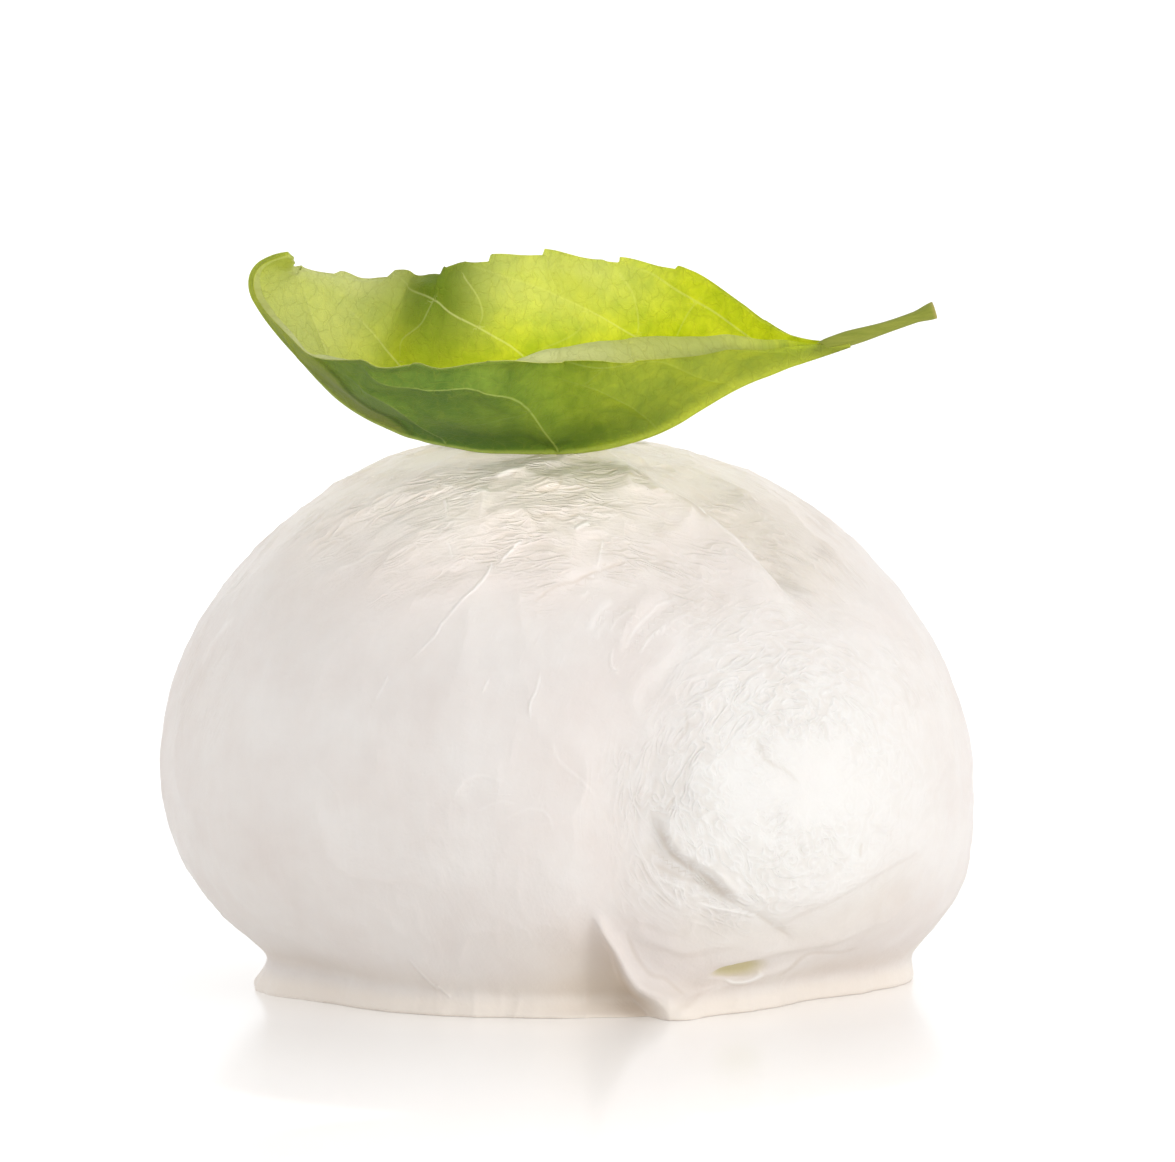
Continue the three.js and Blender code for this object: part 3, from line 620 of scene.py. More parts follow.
fibre_height = add(tree, "Math", {0: fibre_noise, 1: fibred}, operation="MULTIPLY")
wrinkle_height = add(tree, "Math", {0: wrinkle_noise, 1: wrinkled}, operation="MULTIPLY")
both_heights = add(tree, "Math", {0: fibre_height, 1: wrinkle_height}, operation="ADD")
with_threads = add(tree, "Math", {0: raised, 1: 0.8, 2: both_heights}, operation="MULTIPLY_ADD")
skin_height = add(tree, "Math", {0: grain_noise, 1: 0.3, 2: with_threads}, operation="MULTIPLY_ADD")
skin_bump = add(tree, "Bump", {"Height": skin_height, "Distance": 0.00025, "Strength": 0.6})
wetness = add(tree, "MapRange", {"Value": grain_noise, "To Min": 0.34, "To Max": 0.52})
depth_of_light = add(tree, "MapRange", {"Value": mark["near_table"], "To Min": 0.4, "To Max": 0.0})
curd_shader = add(
    tree,
    "BsdfPrincipled",
    {
        "Base Color": whey,
        "Roughness": wetness,
        "IOR": 1.38,
        "Specular IOR Level": 0.35,
        "Subsurface Weight": depth_of_light,
        "Subsurface Radius": (1.0, 0.82, 0.66),
        "Subsurface Scale": 0.0009,
        "Coat Weight": 0.12,
        "Coat Roughness": 0.25,
        "Normal": skin_bump,
    },
    subsurface_method="BURLEY",
)
add(tree, "OutputMaterial", {"Surface": curd_shader})
cheese_skin.data.materials.append(curd)
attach(cheese_skin, "root")
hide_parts("cheese")

# ---- The basil blade ----
# One large sweet basil leaf, folded along its midrib into a boat. Its near margin rolls outwards, its tip
# curls over, and the blade puffs up between the sunken side veins. It rests on its midrib.
LEAF_BASE = (27.3, -11.0, 64.5)
LEAF_LENGTH = 71.5
LEAF_HALF_WIDTH = 20.0
BLADE_THICKNESS = 0.36
CLIMB = {  # the midrib's climb in degrees at distances from the stalk
    0: -20, 8: -19, 13: -30.5, 17.5: -34, 22.5: -18, 30: -2, 36.5: 2, 42.5: 14,
    49.5: 28, 54.5: 45, 62.5: 51, 65: 62, 67: 95, 69: 150, 71.5: 175,
}  # fmt: skip
TILT = {0: -22, 0.27: -21, 0.42: -5, 0.6: 9, 0.75: 30, 0.9: 46, 1: 120}  # of the blade's upright
SECTIONS = {  # how steeply the near half and the far half rise, at the midrib and at the margin
    0: (20, 40, 30, 70),
    0.1: (16, 42, 40, 76),
    0.17: (20, 53, 46, 92),
    0.28: (27, 68, 42, 94),
    0.42: (18, 76, 36, 89),
    0.53: (8, 56, 32, 86),
    0.63: (4, 50, 28, 81),
    0.72: (-3, 40, 24, 64),
    0.82: (-12, 22, 16, 49),
    1: (-10, 14, 16, 44),
}
# The teeth: how far each tip is from the stalk, and how deep the step behind it is.
FAR_TEETH = {
    0: 0, 7: 0.2, 13.2: 0.45, 18.3: 0.65, 30.5: 0.7, 38.6: 0.8, 46.4: 1.0, 54.8: 1.0, 60.8: 0.6, 66.5: 0.4,
    71.5: 0,
}  # fmt: skip
NEAR_TEETH = {0: 0, 10: 0.2, 20.4: 0.3, 29: 0.35, 38: 0.3, 46.8: 0.45, 53: 0.45, 59: 0.4, 64: 0.3, 71.5: 0}
# How much broader or narrower each half is than an even oval, at distances from the stalk.
FAR_BREADTH = {
    0: 0, 5: -0.246, 8: -0.08, 12: -0.088, 16: -0.015, 20: 0.048, 24: 0.034, 28: 0.025, 33: 0.006,
    38: -0.022, 42: -0.027, 45.5: -0.093, 48.5: -0.04, 52: -0.008, 56: 0.02, 60: -0.02, 64: -0.15, 71.5: 0,
}  # fmt: skip
NEAR_BREADTH = {
    0: 0, 4: -0.152, 8: -0.257, 12: -0.305, 16: -0.188, 20: -0.095, 24: -0.055, 28: -0.072, 33: -0.057,
    38: -0.023, 43: -0.05, 48: 0.015, 53: 0.07, 57: 0.02, 71.5: 0,
}  # fmt: skip
LEAF_ROWS = 330
LEAF_COLUMNS = 141
BEND_STEPS = 24
# The side veins, from the midrib outwards, as (distance from the stalk, distance from the midrib).
NEAR_VEINS = (
    ([(4.5, 0), (7.5, 3.2), (11, 6), (15, 8)], 0.4),
    ([(12, 0), (15, 5), (17.5, 9), (20.5, 10.7), (24, 11.8), (28.5, 13.8), (33, 15.6)], 0.65),
    ([(20.5, 0), (22.5, 5.5), (25.5, 9.4), (30, 12)], 0.35),
    ([(30.3, 0), (31.6, 4.7), (34.1, 10.6), (38.4, 13.8), (43.8, 13.4), (48.3, 13), (52.5, 15)], 1.0),
    ([(41, 0), (44, 4.8), (48, 8.8), (53, 11)], 0.45),
    ([(51, 0), (54, 3.8), (58, 6.8), (62, 8)], 0.3),
)
FAR_VEINS = (
    ([(6.5, 0), (9.5, 4.6), (11.4, 7.6), (13.8, 11), (15.7, 14), (18.4, 16.6)], 0.7),
    ([(13.5, 0), (17, 6.5), (20.6, 10.7), (24.1, 13.6), (28.4, 15.8), (34.9, 17.8), (41.5, 19)], 1.0),
    ([(26.5, 0), (30, 6.2), (34.1, 10.5), (38.1, 12.5), (42.4, 13.8), (48.1, 15), (54.3, 16.2)], 1.0),
    ([(41.5, 0), (45, 5), (49.7, 8.2), (54, 9.4), (59.2, 10.2)], 0.6),
    ([(53, 0), (56.5, 3.8), (61, 6.2), (65, 7)], 0.5),
)
FAR_BRANCHES = (
    ([(18.6, 15.7), (18.0, 13.0), (18.6, 10.4), (19.6, 9.2)], 0.5),
    ([(28.2, 19.1), (28.9, 17.4), (28.6, 16.0)], 0.4),
    ([(41.6, 17.8), (39.6, 16.0), (38.8, 14.2), (39.3, 12.8)], 0.6),
    ([(24.5, 13.8), (26.2, 12.2), (29.8, 11.2), (33.5, 10.2)], 0.3),
    ([(46.0, 14.6), (46.5, 12.0), (48.4, 9.8), (48.2, 8.0)], 0.3),
    ([(12.2, 9.0), (13.6, 8.4), (15.8, 6.8), (16.6, 5.6)], 0.3),
)
NEAR_BRANCHES = (
    ([(24, 11.8), (26.2, 10.6), (27.4, 10.6)], 0.2),
    ([(33.2, 8.6), (36.5, 7.6), (41.0, 5.2)], 0.2),
)
# A fold in the near half, from the midrib to the margin near the tip: the blade beyond it is turned under.
FOLD = ((44.0, 0.0), (48.5, 3.8), (51.0, 6.0), (53.7, 9.2), (57.5, 13.0))


def table_at(table, place):
    return np.interp(place, list(table), list(table.values()))


def teeth_at(teeth, distance):
    """How far a margin stands out in teeth that lean towards the tip."""
    out = np.zeros(distance.shape)
    for before, tip in zip(list(teeth), list(teeth)[1:]):
        step = (distance - before) / (tip - before)
        rise = ramp(0.2, 1, step / (1 - 0.35 / (tip - before)))
        fall = ramp(0, 0.35, tip - distance)
        out += np.where((step >= 0) & (step < 1), teeth[tip] * rise * fall, 0)
    return out


def midrib_line():
    """The midrib's points from the stalk to the tip, and the lean of the blade there in radians."""
    steps = 8
    x, z = LEAF_BASE[0], LEAF_BASE[2]
    line = []
    for i in range(LEAF_ROWS + 1):
        line.append((x, z))
        for j in range(steps):
            step = LEAF_LENGTH / LEAF_ROWS / steps
            climb = table_at(CLIMB, LEAF_LENGTH * i / LEAF_ROWS + (j + 0.5) * step) * DEGREE
            x -= np.cos(climb) * step
            z += np.sin(climb) * step
    tilt = table_at(TILT, np.linspace(0, 1, LEAF_ROWS + 1)) * DEGREE
    return np.array(line), tilt


def section_at(share, column):
    """One column of SECTIONS at each share of the length, eased from row to row."""
    places = list(SECTIONS)
    value = np.zeros(share.shape)
    for low, high in zip(places, places[1:]):
        here = mix(SECTIONS[low][column], SECTIONS[high][column], ramp(low, high, share))
        value = np.where((share >= low) & (share <= high), here, value)
    return value


def vein_distance(distance, reach, veins):
    """The distance from each place of a half blade to its nearest vein, signed, and that vein's strength."""
    nearest = np.full(distance.shape, 99.0)
    strongest = np.zeros(distance.shape)
    for line, strength in veins:
        side, along = beside(eased(line), distance, reach)
        closer = np.abs(side) < np.abs(nearest)
        strongest = np.where(closer, strength * ramp(1.1, 0.55, along), strongest)
        nearest = np.where(closer, side, nearest)
    return nearest, strongest


def veins_at(distance, reach, far, far_veins, near_veins):
    """The same for both halves of the blade."""
    halves = [vein_distance(distance, reach, veins) for veins in (far_veins, near_veins)]
    return [np.where(far, at_far, at_near) for at_far, at_near in zip(*halves)]


def half_width(share, distance, size, far):
    """How wide each half of the blade is, with its teeth."""
    swell = np.sin(np.pi * np.minimum(0.997, share)) ** 0.62 * mix(0.06, 1, ramp(0, 0.18, share))
    near_breadth = 1 - 0.12 * ramp(0.35, 0.55, share) + table_at(NEAR_BREADTH, distance)
    breadth = np.where(far, 1 + table_at(FAR_BREADTH, distance), near_breadth)
    tooth = np.where(far, teeth_at(FAR_TEETH, distance), teeth_at(NEAR_TEETH, distance))
    tooth = tooth * ramp(0, 0.12, share) * ramp(1, 0.9, share) * ramp(0.78, 1, size)
    half = LEAF_HALF_WIDTH * swell * breadth + tooth
    return half * np.where(far, 1, 1 - 0.55 * ramp(0.83, 0.93, share))


def bent_up(share, distance, size, far):
    """How far each place lies beside the midrib and above it, as shares of its half's width."""
    start = np.where(far, section_at(share, 2), section_at(share, 0))
    end = np.where(far, section_at(share, 3), section_at(share, 1))
    rolled = ramp(0.53, 0.42, share) * ramp(0.03, 0.15, share)
    lip = np.where(far, -2.5 * np.sin(share * 19), (50 * ramp(0.15, 0.42, share) - 135) * rolled)
    lip_breadth = 0.07 * ramp(0.3, 0.15, share)
    wave = np.where(far, 5 * ramp(46, 34, distance), 0.8) * np.sin(distance / 3.1 + np.where(far, 0, 1.4))
    side = np.zeros(start.shape)
    rise = np.zeros(start.shape)
    for i in range(BEND_STEPS):
        out = (i + 0.5) / BEND_STEPS * size
        bend = mix(start, end, np.where(far, 1 - (1 - out) ** 2.6, out))
        bend += lip * ramp(0.76, 0.9, out - lip_breadth) + wave * ramp(0.5, 1, out)
        side += np.cos(bend * DEGREE)
        rise += np.sin(bend * DEGREE)
    return side * size / BEND_STEPS, rise * size / BEND_STEPS


def blade():
    """The blade's rings from the stalk to the tip, outer face then inner face, and its material's marks."""
    share = np.linspace(0, 1, LEAF_ROWS + 1)[:, None]
    distance = share * LEAF_LENGTH
    across = np.linspace(-1, 1, LEAF_COLUMNS)[None, :]
    far = across < 0
    size = np.abs(across) ** 1.15  # finer beside the midrib
    half = half_width(share, distance, size, far)
    side, rise = bent_up(share, distance, size, far)
    line, tilt = midrib_line()
    middle = np.stack(
        [
            line[:, 0, None] + np.sin(tilt)[:, None] * rise * half,
            LEAF_BASE[1] + np.where(far, 1, -1) * side * half,
            line[:, 1, None] + np.cos(tilt)[:, None] * rise * half,
        ],
        -1,
    )
    up = -np.cross(np.gradient(middle, axis=0), -np.gradient(middle, axis=1))
    up[0] = up[1]  # the blade starts from a point, inside the stalk
    up /= np.linalg.norm(up, axis=-1, keepdims=True)

    # The veins are sunk in the inner face and stand out on the outer one. The blade puffs up between them.
    reach = size * half
    distance = distance + 0 * reach
    main_side, main_strength = veins_at(distance, reach, far, FAR_VEINS, NEAR_VEINS)
    branch_side, branch_strength = veins_at(distance, reach, far, FAR_BRANCHES, NEAR_BRANCHES)
    main = np.abs(main_side) < np.abs(branch_side)
    vein_side = np.where(main, main_side, branch_side)
    strength = np.where(main, main_strength, branch_strength) * ramp(0.0, 0.6, reach)
    vein = strength * hill(vein_side, 0.28)
    rib = hill(reach, 0.62) * (1 - 0.75 * share)
    from_fold = beside(FOLD, distance, reach)[0]
    folded = np.where(far, 0, ramp(43, 46, distance))
    inland = ramp(0, 0.1, share) * ramp(1, 0.92, share) * ramp(1.0, 0.9, size)
    from_veins = np.minimum(np.abs(main_side) + 2.6 * (1 - main_strength), reach)
    puff = 0.6 * inland * ramp(0, 3.2, from_veins)
    puff += 0.15 * folded * np.tanh(from_fold / 0.4) * hill(from_fold, 2) * inland
    puff += 0.3 * inland * (lumps(distance / 2.9, reach / 2.4, 5.5 + far) - 0.5)
    thick = BLADE_THICKNESS / 2 * mix(0.22, 1, ramp(1.0, 0.9, size))
    inner_face = middle + up * (puff + thick - 0.14 * vein - 0.3 * rib)[..., None]
    outer_face = middle + up * (puff - thick - 0.2 * vein - 0.85 * rib)[..., None]

    # It is thinner and brighter towards the stalk, and darker in two places, partly as thicker leaf and
    # partly as painted shade. A painted sheen makes it pale near the margins and at the tip.
    dark_far = np.where(far, hill(distance - 46, 7), 0)
    dark_near = 0.55 * hill(distance - 46, 14) + 0.6 * hill(reach, 5) * hill(distance - 34, 14)
    near_thin = 0.58 - 0.42 * hill(distance - 46, 15)
    near_thin += 0.2 * ramp(32, 16, distance) + 0.16 * ramp(60, 66, distance)
    far_thin = 0.6 + 0.1 * hill(distance - 30, 14) - 0.34 * hill(distance - 46, 6) * hill(reach - 16, 7)
    far_thin -= 0.12 * ramp(8, 2, distance) + 0.14 * ramp(50, 58, distance)
    margin_start = np.where(far, ramp(10, 24, distance), 1.15 * ramp(2, 12, distance))
    sheen_inside = np.maximum(ramp(0.45, 0.9, size) * margin_start, 0.75 * ramp(47, 52, distance))
    sheen_outside = np.where(far, 0, 0.45 * ramp(30, 12, distance)) + 0.5 * ramp(60, 66, distance)
    faces = {  # on the outer face, and on the inner one
        "inner_face": (0.0, 1.0),
        "vein": [strength * hill(vein_side, 0.7)] * 2,
        "vein_side": [vein_side] * 2,
        "margin": [1 - ramp(1.0, 0.985, size)] * 2,
        "thinness": [np.where(far, far_thin, near_thin)] * 2,
        "painted_sheen": (sheen_outside, sheen_inside * (1 - 0.85 * dark_far)),
        "deep": [np.where(far, 0.9 * dark_far * hill(reach - 16, 8), dark_near)] * 2,
        "turned_under": (folded * ramp(0, -0.7, from_fold), 0.0),
        "fold_shade_line": (folded * hill(from_fold, 0.22), 0.0),
        "along": [distance] * 2,
        "across": [np.where(far, -reach, reach)] * 2,
    }
    marks = {}
    for name, (outer, inner) in faces.items():
        marks[name] = np.hstack([outer + 0 * reach, (inner + 0 * reach)[:, ::-1]])
    return np.concatenate([outer_face, inner_face[:, ::-1]], axis=1), marks


def closed_between_middles(name, rings, marks):
    """The same, with each end closed onto its ring's middle."""
    return closed_skin(name, rings, np.mean(rings[0], axis=0), np.mean(rings[-1], axis=0), marks)


leaf_rings, leaf_marks = blade()
basil_blade = closed_between_middles("basil_blade", leaf_rings, leaf_marks)

# A thin living leaf: satin on its inner face and darker outside, and light that comes through it turns a
# bright yellow green. The veins hold less green, so they show pale, and the margin dries to a straw rim.
VEIN_MESH = 1.5  # millimetres across one cell of the small veins
FINE_MESH = 2.6  # how many of the finest cells go across one of those
leaf, tree = new_material("basil_leaf_green")
mark = read_marks(tree, leaf_marks)
flat = add(tree, "CombineXYZ", {"X": mark["along"], "Y": mark["across"]})
wander = add(tree, "TexNoise", {"Vector": flat, "Scale": 0.5, "Detail": 2.0}).outputs["Color"]
bent = add(tree, "VectorMath", {0: wander, 1: (3, 3, 0), 2: flat}, operation="MULTIPLY_ADD")
borders = {"feature": "DISTANCE_TO_EDGE", "voronoi_dimensions": "2D"}
cells = add(tree, "TexVoronoi", {"Vector": bent, "Scale": 1 / VEIN_MESH}, **borders)
small_cells = add(tree, "TexVoronoi", {"Vector": bent, "Scale": FINE_MESH / VEIN_MESH}, **borders)
net = add(tree, "MapRange", {"Value": cells, "From Max": 0.09, "To Min": 1.0, "To Max": 0.0})
small_net = add(tree, "MapRange", {"Value": small_cells, "From Max": 0.12, "To Min": 0.4, "To Max": 0.0})
nets = add(tree, "Math", {0: net, 1: small_net}, operation="MAXIMUM")

# The green of each face, in soft patches, then paler with a painted sheen, deeper where the leaf is darker
# and painted shade falls, turned under, and dark with painted shade along the fold's crease.
patches = add(tree, "TexNoise", {"Vector": flat, "Scale": 0.11, "Detail": 3.0, "Roughness": 0.5})
mottle = add(
    tree, "TexNoise", {"Vector": flat, "Scale": 0.7, "Detail": 3.0, "Roughness": 0.6, "Distortion": 0.6}
)
blotches = add(tree, "Mix", {"Factor": 0.45, 2: patches, 3: mottle})
patch = add(tree, "MapRange", {"Value": blotches, "From Min": 0.38, "From Max": 0.62})
inside = add(tree, "Mix", {"Factor": patch, 6: "#a0b028", 7: "#bac43c"}, data_type="RGBA")
outside = add(tree, "Mix", {"Factor": patch, 6: "#55722b", 7: "#7d973a"}, data_type="RGBA")
face = add(tree, "Mix", {"Factor": mark["inner_face"], 6: outside, 7: inside}, data_type="RGBA")
# Painted sheen: paler near the margins, at the tip, on the rolled lip and by the stalk.
sheen_part = add(tree, "Math", {0: mark["painted_sheen"], 1: 0.8}, operation="MULTIPLY")
sheened = add(tree, "Mix", {"Factor": sheen_part, 6: face, 7: "#e4e6aa"}, data_type="RGBA")
# Darker in two places: partly thicker leaf, partly painted shade.
deep_part = add(tree, "Math", {0: mark["deep"], 1: 0.95}, operation="MULTIPLY")
deep_green = add(tree, "Mix", {"Factor": mark["inner_face"], 6: "#456428", 7: "#587414"}, data_type="RGBA")
deeper = add(tree, "Mix", {"Factor": deep_part, 6: sheened, 7: deep_green}, data_type="RGBA")
under_part = add(tree, "Math", {0: mark["turned_under"], 1: 0.6}, operation="MULTIPLY")
under = add(tree, "Mix", {"Factor": under_part, 6: deeper, 7: "#7e8438"}, data_type="RGBA")
# Painted shade: a dark line along the fold's crease.
fold_shade_part = add(tree, "Math", {0: mark["fold_shade_line"], 1: 0.8}, operation="MULTIPLY")
folded = add(tree, "Mix", {"Factor": fold_shade_part, 6: under, 7: "#3d4c1c"}, data_type="RGBA")

# The net of small veins, the side veins, the midrib and the rim lie over that green.
net_part = add(tree, "Math", {0: nets, 1: 0.16}, operation="MULTIPLY")
netted = add(tree, "Mix", {"Factor": net_part, 6: folded, 7: "#9c9c3a"}, data_type="RGBA")
vein_gap = add(tree, "Math", {0: mark["vein_side"]}, operation="ABSOLUTE")
vein_line = add(
    tree, "MapRange", {"Value": vein_gap, "From Min": 0.04, "From Max": 0.15, "To Min": 1.0, "To Max": 0.0}
)
side_vein = add(tree, "Math", {0: vein_line, 1: mark["vein"]}, operation="MULTIPLY")
midrib_gap = add(tree, "Math", {0: mark["across"]}, operation="ABSOLUTE")
midrib = add(
    tree, "MapRange", {"Value": midrib_gap, "From Min": 0.3, "From Max": 0.6, "To Min": 1.0, "To Max": 0.0}
)
any_vein = add(tree, "Math", {0: side_vein, 1: midrib}, operation="MAXIMUM")
vein_part = add(tree, "Math", {0: any_vein, 1: 0.75}, operation="MULTIPLY")
vein_green = add(tree, "Mix", {"Factor": mark["inner_face"], 6: "#9aab58", 7: "#d8dd98"}, data_type="RGBA")
veined = add(tree, "Mix", {"Factor": vein_part, 6: netted, 7: vein_green}, data_type="RGBA")
rim_part = add(tree, "Math", {0: mark["margin"], 1: 0.3}, operation="MULTIPLY")
rimmed = add(tree, "Mix", {"Factor": rim_part, 6: veined, 7: "#a9a75c"}, data_type="RGBA")

# The colour of the light that comes through.
through_green = add(tree, "Mix", {"Factor": patch, 6: "#d2de1c", 7: "#f8fa3c"}, data_type="RGBA")
through_sheen = add(tree, "Mix", {"Factor": sheen_part, 6: through_green, 7: "#dfe49a"}, data_type="RGBA")
through_deep = add(tree, "Mix", {"Factor": deep_part, 6: through_sheen, 7: "#869a1c"}, data_type="RGBA")
through_net = add(tree, "Mix", {"Factor": net_part, 6: through_deep, 7: "#a8a838"}, data_type="RGBA")
through = add(tree, "Mix", {"Factor": vein_part, 6: through_net, 7: "#f2f59a"}, data_type="RGBA")

pores = add(tree, "TexNoise", {"Vector": flat, "Scale": 5.0, "Detail": 2.0})
leaf_height = add(tree, "Math", {0: nets, 1: -0.5, 2: pores}, operation="MULTIPLY_ADD")
leaf_bump = add(tree, "Bump", {"Height": leaf_height, "Distance": 0.00014, "Strength": 0.7})
satin = add(tree, "MapRange", {"Value": pores, "To Min": 0.4, "To Max": 0.6})
leaf_shader = add(
    tree,
    "BsdfPrincipled",
    {
        "Base Color": rimmed,
        "Roughness": satin,
        "IOR": 1.42,
        "Specular IOR Level": 0.16,
        "Normal": leaf_bump,
    },
)
leaf_through = add(tree, "BsdfTranslucent", {"Color": through, "Normal": leaf_bump})
leaf_mix = add(tree, "MixShader", {"Fac": mark["thinness"], 1: leaf_shader, 2: leaf_through})
add(tree, "OutputMaterial", {"Surface": leaf_mix})
basil_blade.data.materials.append(leaf)
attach(basil_blade, "root")
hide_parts("basil_leaf")

# ---- The basil stalk ----
# The short stalk that held the leaf to its stem: a ribbed green rod, channelled on top where it joins the
# blade, and cut off square with scissors, which left a pale rim round a small hollow.
STALK_LENGTH = 8.9
STALK_INSIDE = 4.0
STALK_ROWS = 70
STALK_SIDES = 48
STALK_CLIMB = 17.4


def stalk():
    climb = STALK_CLIMB * DEGREE
    direction = np.array([np.cos(climb), 0.04, np.sin(climb)])
    direction /= np.linalg.norm(direction)
    up = np.array([-np.sin(climb), 0, np.cos(climb)])
    sideways = np.cross(up, direction)
    sideways /= np.linalg.norm(sideways)
    turn = np.arange(STALK_SIDES) / STALK_SIDES * 2 * np.pi
    rings = []
    hollows = []
    ends = []
    for i in range(STALK_ROWS + 1):
        distance = (STALK_LENGTH + STALK_INSIDE) * i / STALK_ROWS - STALK_INSIDE
        cut = ramp(STALK_LENGTH - 2.2, STALK_LENGTH, distance)
        radius = 0.56 + 0.29 * hill(distance, 3.2) + 0.27 * cut
        radius = mix(0.3, radius, ramp(-STALK_INSIDE, -STALK_INSIDE / 2, distance))
        channel = 0.34 * hill((turn - np.pi / 2.1) / 0.5, 1) * ramp(STALK_LENGTH, 1.5, distance)
        ribs = 0.035 * np.cos(turn * 7 + 0.5) + 0.02 * np.cos(turn * 11)
        size = radius * (1 - channel + ribs)
        bow = 0.12 * np.sin(np.pi * max(0, distance) / STALK_LENGTH)
        centre = np.array(LEAF_BASE) + direction * distance - up * bow
        rings.append(centre + up * (size * np.sin(turn))[:, None] + sideways * (size * np.cos(turn))[:, None])
        hollows.append(channel * 2)
        ends.append(np.full(STALK_SIDES, ramp(STALK_LENGTH - 0.35, STALK_LENGTH, distance)))
    centre = np.array(LEAF_BASE) + direction * STALK_LENGTH
    for share, sunk in ((0.93, -0.05), (0.8, 0.0), (0.5, 0.12), (0.34, 0.2), (0.28, 0.75), (0.12, 0.85)):
        rings.append(centre + (rings[STALK_ROWS] - centre) * share - direction * sunk)
        hollows.append(np.full(STALK_SIDES, ramp(0.15, 0.6, sunk)))
        ends.append(np.ones(STALK_SIDES))
    rings = np.array(rings)
    return rings, {"hollow": np.array(hollows), "cut_end": np.array(ends)}


stalk_rings, stalk_marks = stalk()
basil_stalk = closed_between_middles("basil_stalk", stalk_rings, stalk_marks)

# The stalk's green rind has painted shade in its channel and in the small hollow at the cut, is dry and
# straw-coloured at the cut, and is finely lined.
rind, tree = new_material("basil_stalk_rind")
mark = read_marks(tree, stalk_marks)
place = add(tree, "TexCoord", {}).outputs["Object"]
lines_place = add(tree, "VectorMath", {0: place, 1: (300, 5000, 4000)}, operation="MULTIPLY")
lines = add(tree, "TexNoise", {"Vector": lines_place, "Scale": 1.0, "Detail": 3.0})
green = add(tree, "Mix", {"Factor": lines, 6: "#76832a", 7: "#9da043"}, data_type="RGBA")
# Painted shade in the channel.
darker = add(tree, "Mix", {"Factor": mark["hollow"], 6: green, 7: "#575e1f"}, data_type="RGBA")
dried = add(tree, "Mix", {"Factor": mark["cut_end"], 6: darker, 7: "#a89f58"}, data_type="RGBA")
# Painted shade in the cut end's small hollow.
bored = add(tree, "Math", {0: mark["cut_end"], 1: mark["hollow"]}, operation="MULTIPLY")
ended = add(tree, "Mix", {"Factor": bored, 6: dried, 7: "#77702f"}, data_type="RGBA")
rind_bump = add(tree, "Bump", {"Height": lines, "Distance": 0.00006, "Strength": 0.5})
rind_shader = add(
    tree,
    "BsdfPrincipled",
    {
        "Base Color": ended,
        "Roughness": 0.5,
        "IOR": 1.42,
        "Specular IOR Level": 0.3,
        "Normal": rind_bump,
    },
)
add(tree, "OutputMaterial", {"Surface": rind_shader})
basil_stalk.data.materials.append(rind)
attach(basil_stalk, "root")
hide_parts("basil_leaf")

# ---- The table ----
# A white glossy board that glows with painted light, less near the foot, so the board mirrors its foot and
# turns plain white a few centimetres away.
TABLE_SIZE = 6.0
TABLE_DROP = 0.00003  # keeps the board clear of the foot's flat underside
table_mesh = bpy.data.meshes.new("table")
corners = [(TABLE_SIZE / 2 * x, TABLE_SIZE / 2 * y, 0) for x, y in ((-1, -1), (1, -1), (1, 1), (-1, 1))]
table_mesh.from_pydata(corners, [], [(0, 1, 2, 3)])
table = bpy.data.objects.new("table", table_mesh)
table.location.z = -TABLE_DROP
bpy.context.scene.collection.objects.link(table)
board, tree = new_material("painted_glow_board")
place = add(tree, "TexCoord", {}).outputs["Object"]
from_middle = add(tree, "VectorMath", {0: place}, operation="LENGTH")
# Painted light: the board's own glow, dimmer near the foot.
painted_glow = add(
    tree,
    "MapRange",
    {"Value": from_middle, "From Min": 0.045, "From Max": 0.125, "To Min": 0.16, "To Max": 0.3},
)
board_shader = add(
    tree,
    "BsdfPrincipled",
    {
        "Base Color": "#e8e6e4",
        "Roughness": 0.16,
        "IOR": 1.4,
        "Emission Color": "#ffffff",
        "Emission Strength": painted_glow,
    },
)
add(tree, "OutputMaterial", {"Surface": board_shader})
table_mesh.materials.append(board)

# ---- The light ----
# A white room all round, a little dimmer above and in front, a broad soft lamp above the front, and a low one
# on the right. A narrow lamp shines through the leaf from behind, and two light the crown below it.
world = bpy.data.worlds.new("white_room")
world.use_nodes = True
tree = world.node_tree
tree.nodes.clear()
towards = add(tree, "TexCoord", {}).outputs["Generated"]
height = add(tree, "SeparateXYZ", {0: towards}).outputs["Z"]
to_back = add(tree, "SeparateXYZ", {0: towards}).outputs["Y"]
above = add(
    tree, "MapRange", {"Value": height, "From Min": 0.12, "From Max": 0.5, "To Min": 1.0, "To Max": 0.85}
)
in_front = add(
    tree, "MapRange", {"Value": to_back, "From Min": -0.6, "From Max": 0.0, "To Min": 0.86, "To Max": 1.0}
)
evened = add(tree, "Math", {0: above, 1: in_front}, operation="MULTIPLY")
strength = add(tree, "Math", {0: evened, 1: 1.1}, operation="MULTIPLY")
background = add(tree, "Background", {"Color": "#ffffff", "Strength": strength})
add(tree, "OutputWorld", {"Surface": background})
bpy.context.scene.world = world


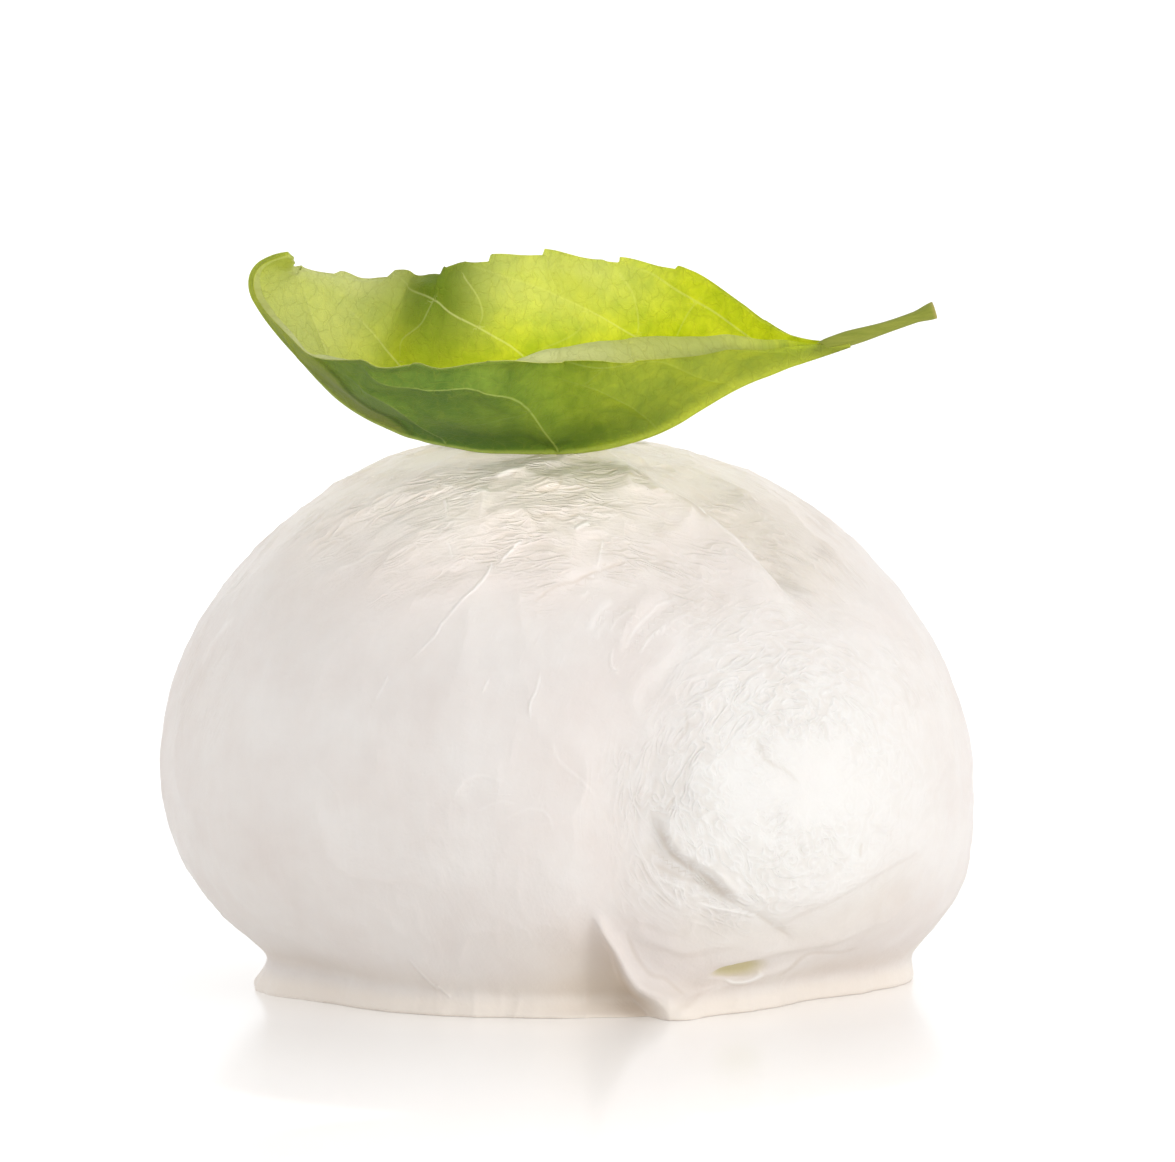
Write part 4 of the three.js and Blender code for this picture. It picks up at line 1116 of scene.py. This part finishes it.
def aimed(name, lamp, place, aim):
    """A lamp at a place, turned to its aim, and seen neither by the camera nor in the gloss."""
    made = bpy.data.objects.new(name, lamp)
    made.location = place
    x, y, z = np.array(aim) - np.array(place)
    made.rotation_euler = (np.arctan2(np.hypot(x, y), -z), 0, np.arctan2(y, x) - np.pi / 2)
    made.visible_camera = False
    made.visible_glossy = False
    bpy.context.scene.collection.objects.link(made)


def soft_lamp(name, place, aim, size, power):
    lamp = bpy.data.lights.new(name, "AREA")
    lamp.shape = "SQUARE"
    lamp.size = size
    lamp.energy = power
    aimed(name, lamp, place, aim)


def narrow_lamp(name, place, aim, cone, softness, size, power, colour):
    lamp = bpy.data.lights.new(name, "SPOT")
    lamp.energy = power
    lamp.spot_size = cone * DEGREE
    lamp.spot_blend = softness
    lamp.shadow_soft_size = size
    lamp.color = linear(colour)[:3]
    aimed(name, lamp, place, aim)


soft_lamp("front_lamp", (-0.05, -0.75, 0.62), (0, 0, 0.03), 0.6, 0.3)
soft_lamp("side_lamp", (0.42, -0.34, 0.05), (0, 0, 0.022), 0.2, 0.95)
LEAF_LAMP = (-0.003, 0.72, 0.47)
narrow_lamp("leaf_lamp", LEAF_LAMP, (-0.003, -0.008, 0.074), 7.0, 0.6, 0.015, 17.0, "#ffffff")
CROWN_LAMP = (-0.02, -0.6, 0.11)
for name, x, cone, power in (("left_crown_lamp", -0.014, 4.8, 7.4), ("right_crown_lamp", 0.001, 4.4, 6.2)):
    narrow_lamp(name, CROWN_LAMP, (x, -0.02, 0.0605), cone, 1.0, 0.008, power, "#fff6f2")
bpy.context.scene.view_settings.view_transform = "Standard"

# ---- The camera ----
# A long lens, almost level with the cheese.
camera_data = bpy.data.cameras.new("camera")
camera_data.sensor_width = 36
camera_data.lens = 310.9
camera_data.clip_start = 0.05
camera = bpy.data.objects.new("camera", camera_data)
camera.location = (0.002, -0.99756, 0.10976)
camera.rotation_euler = (86 * DEGREE, 0, 0)
bpy.context.scene.collection.objects.link(camera)
bpy.context.scene.camera = camera
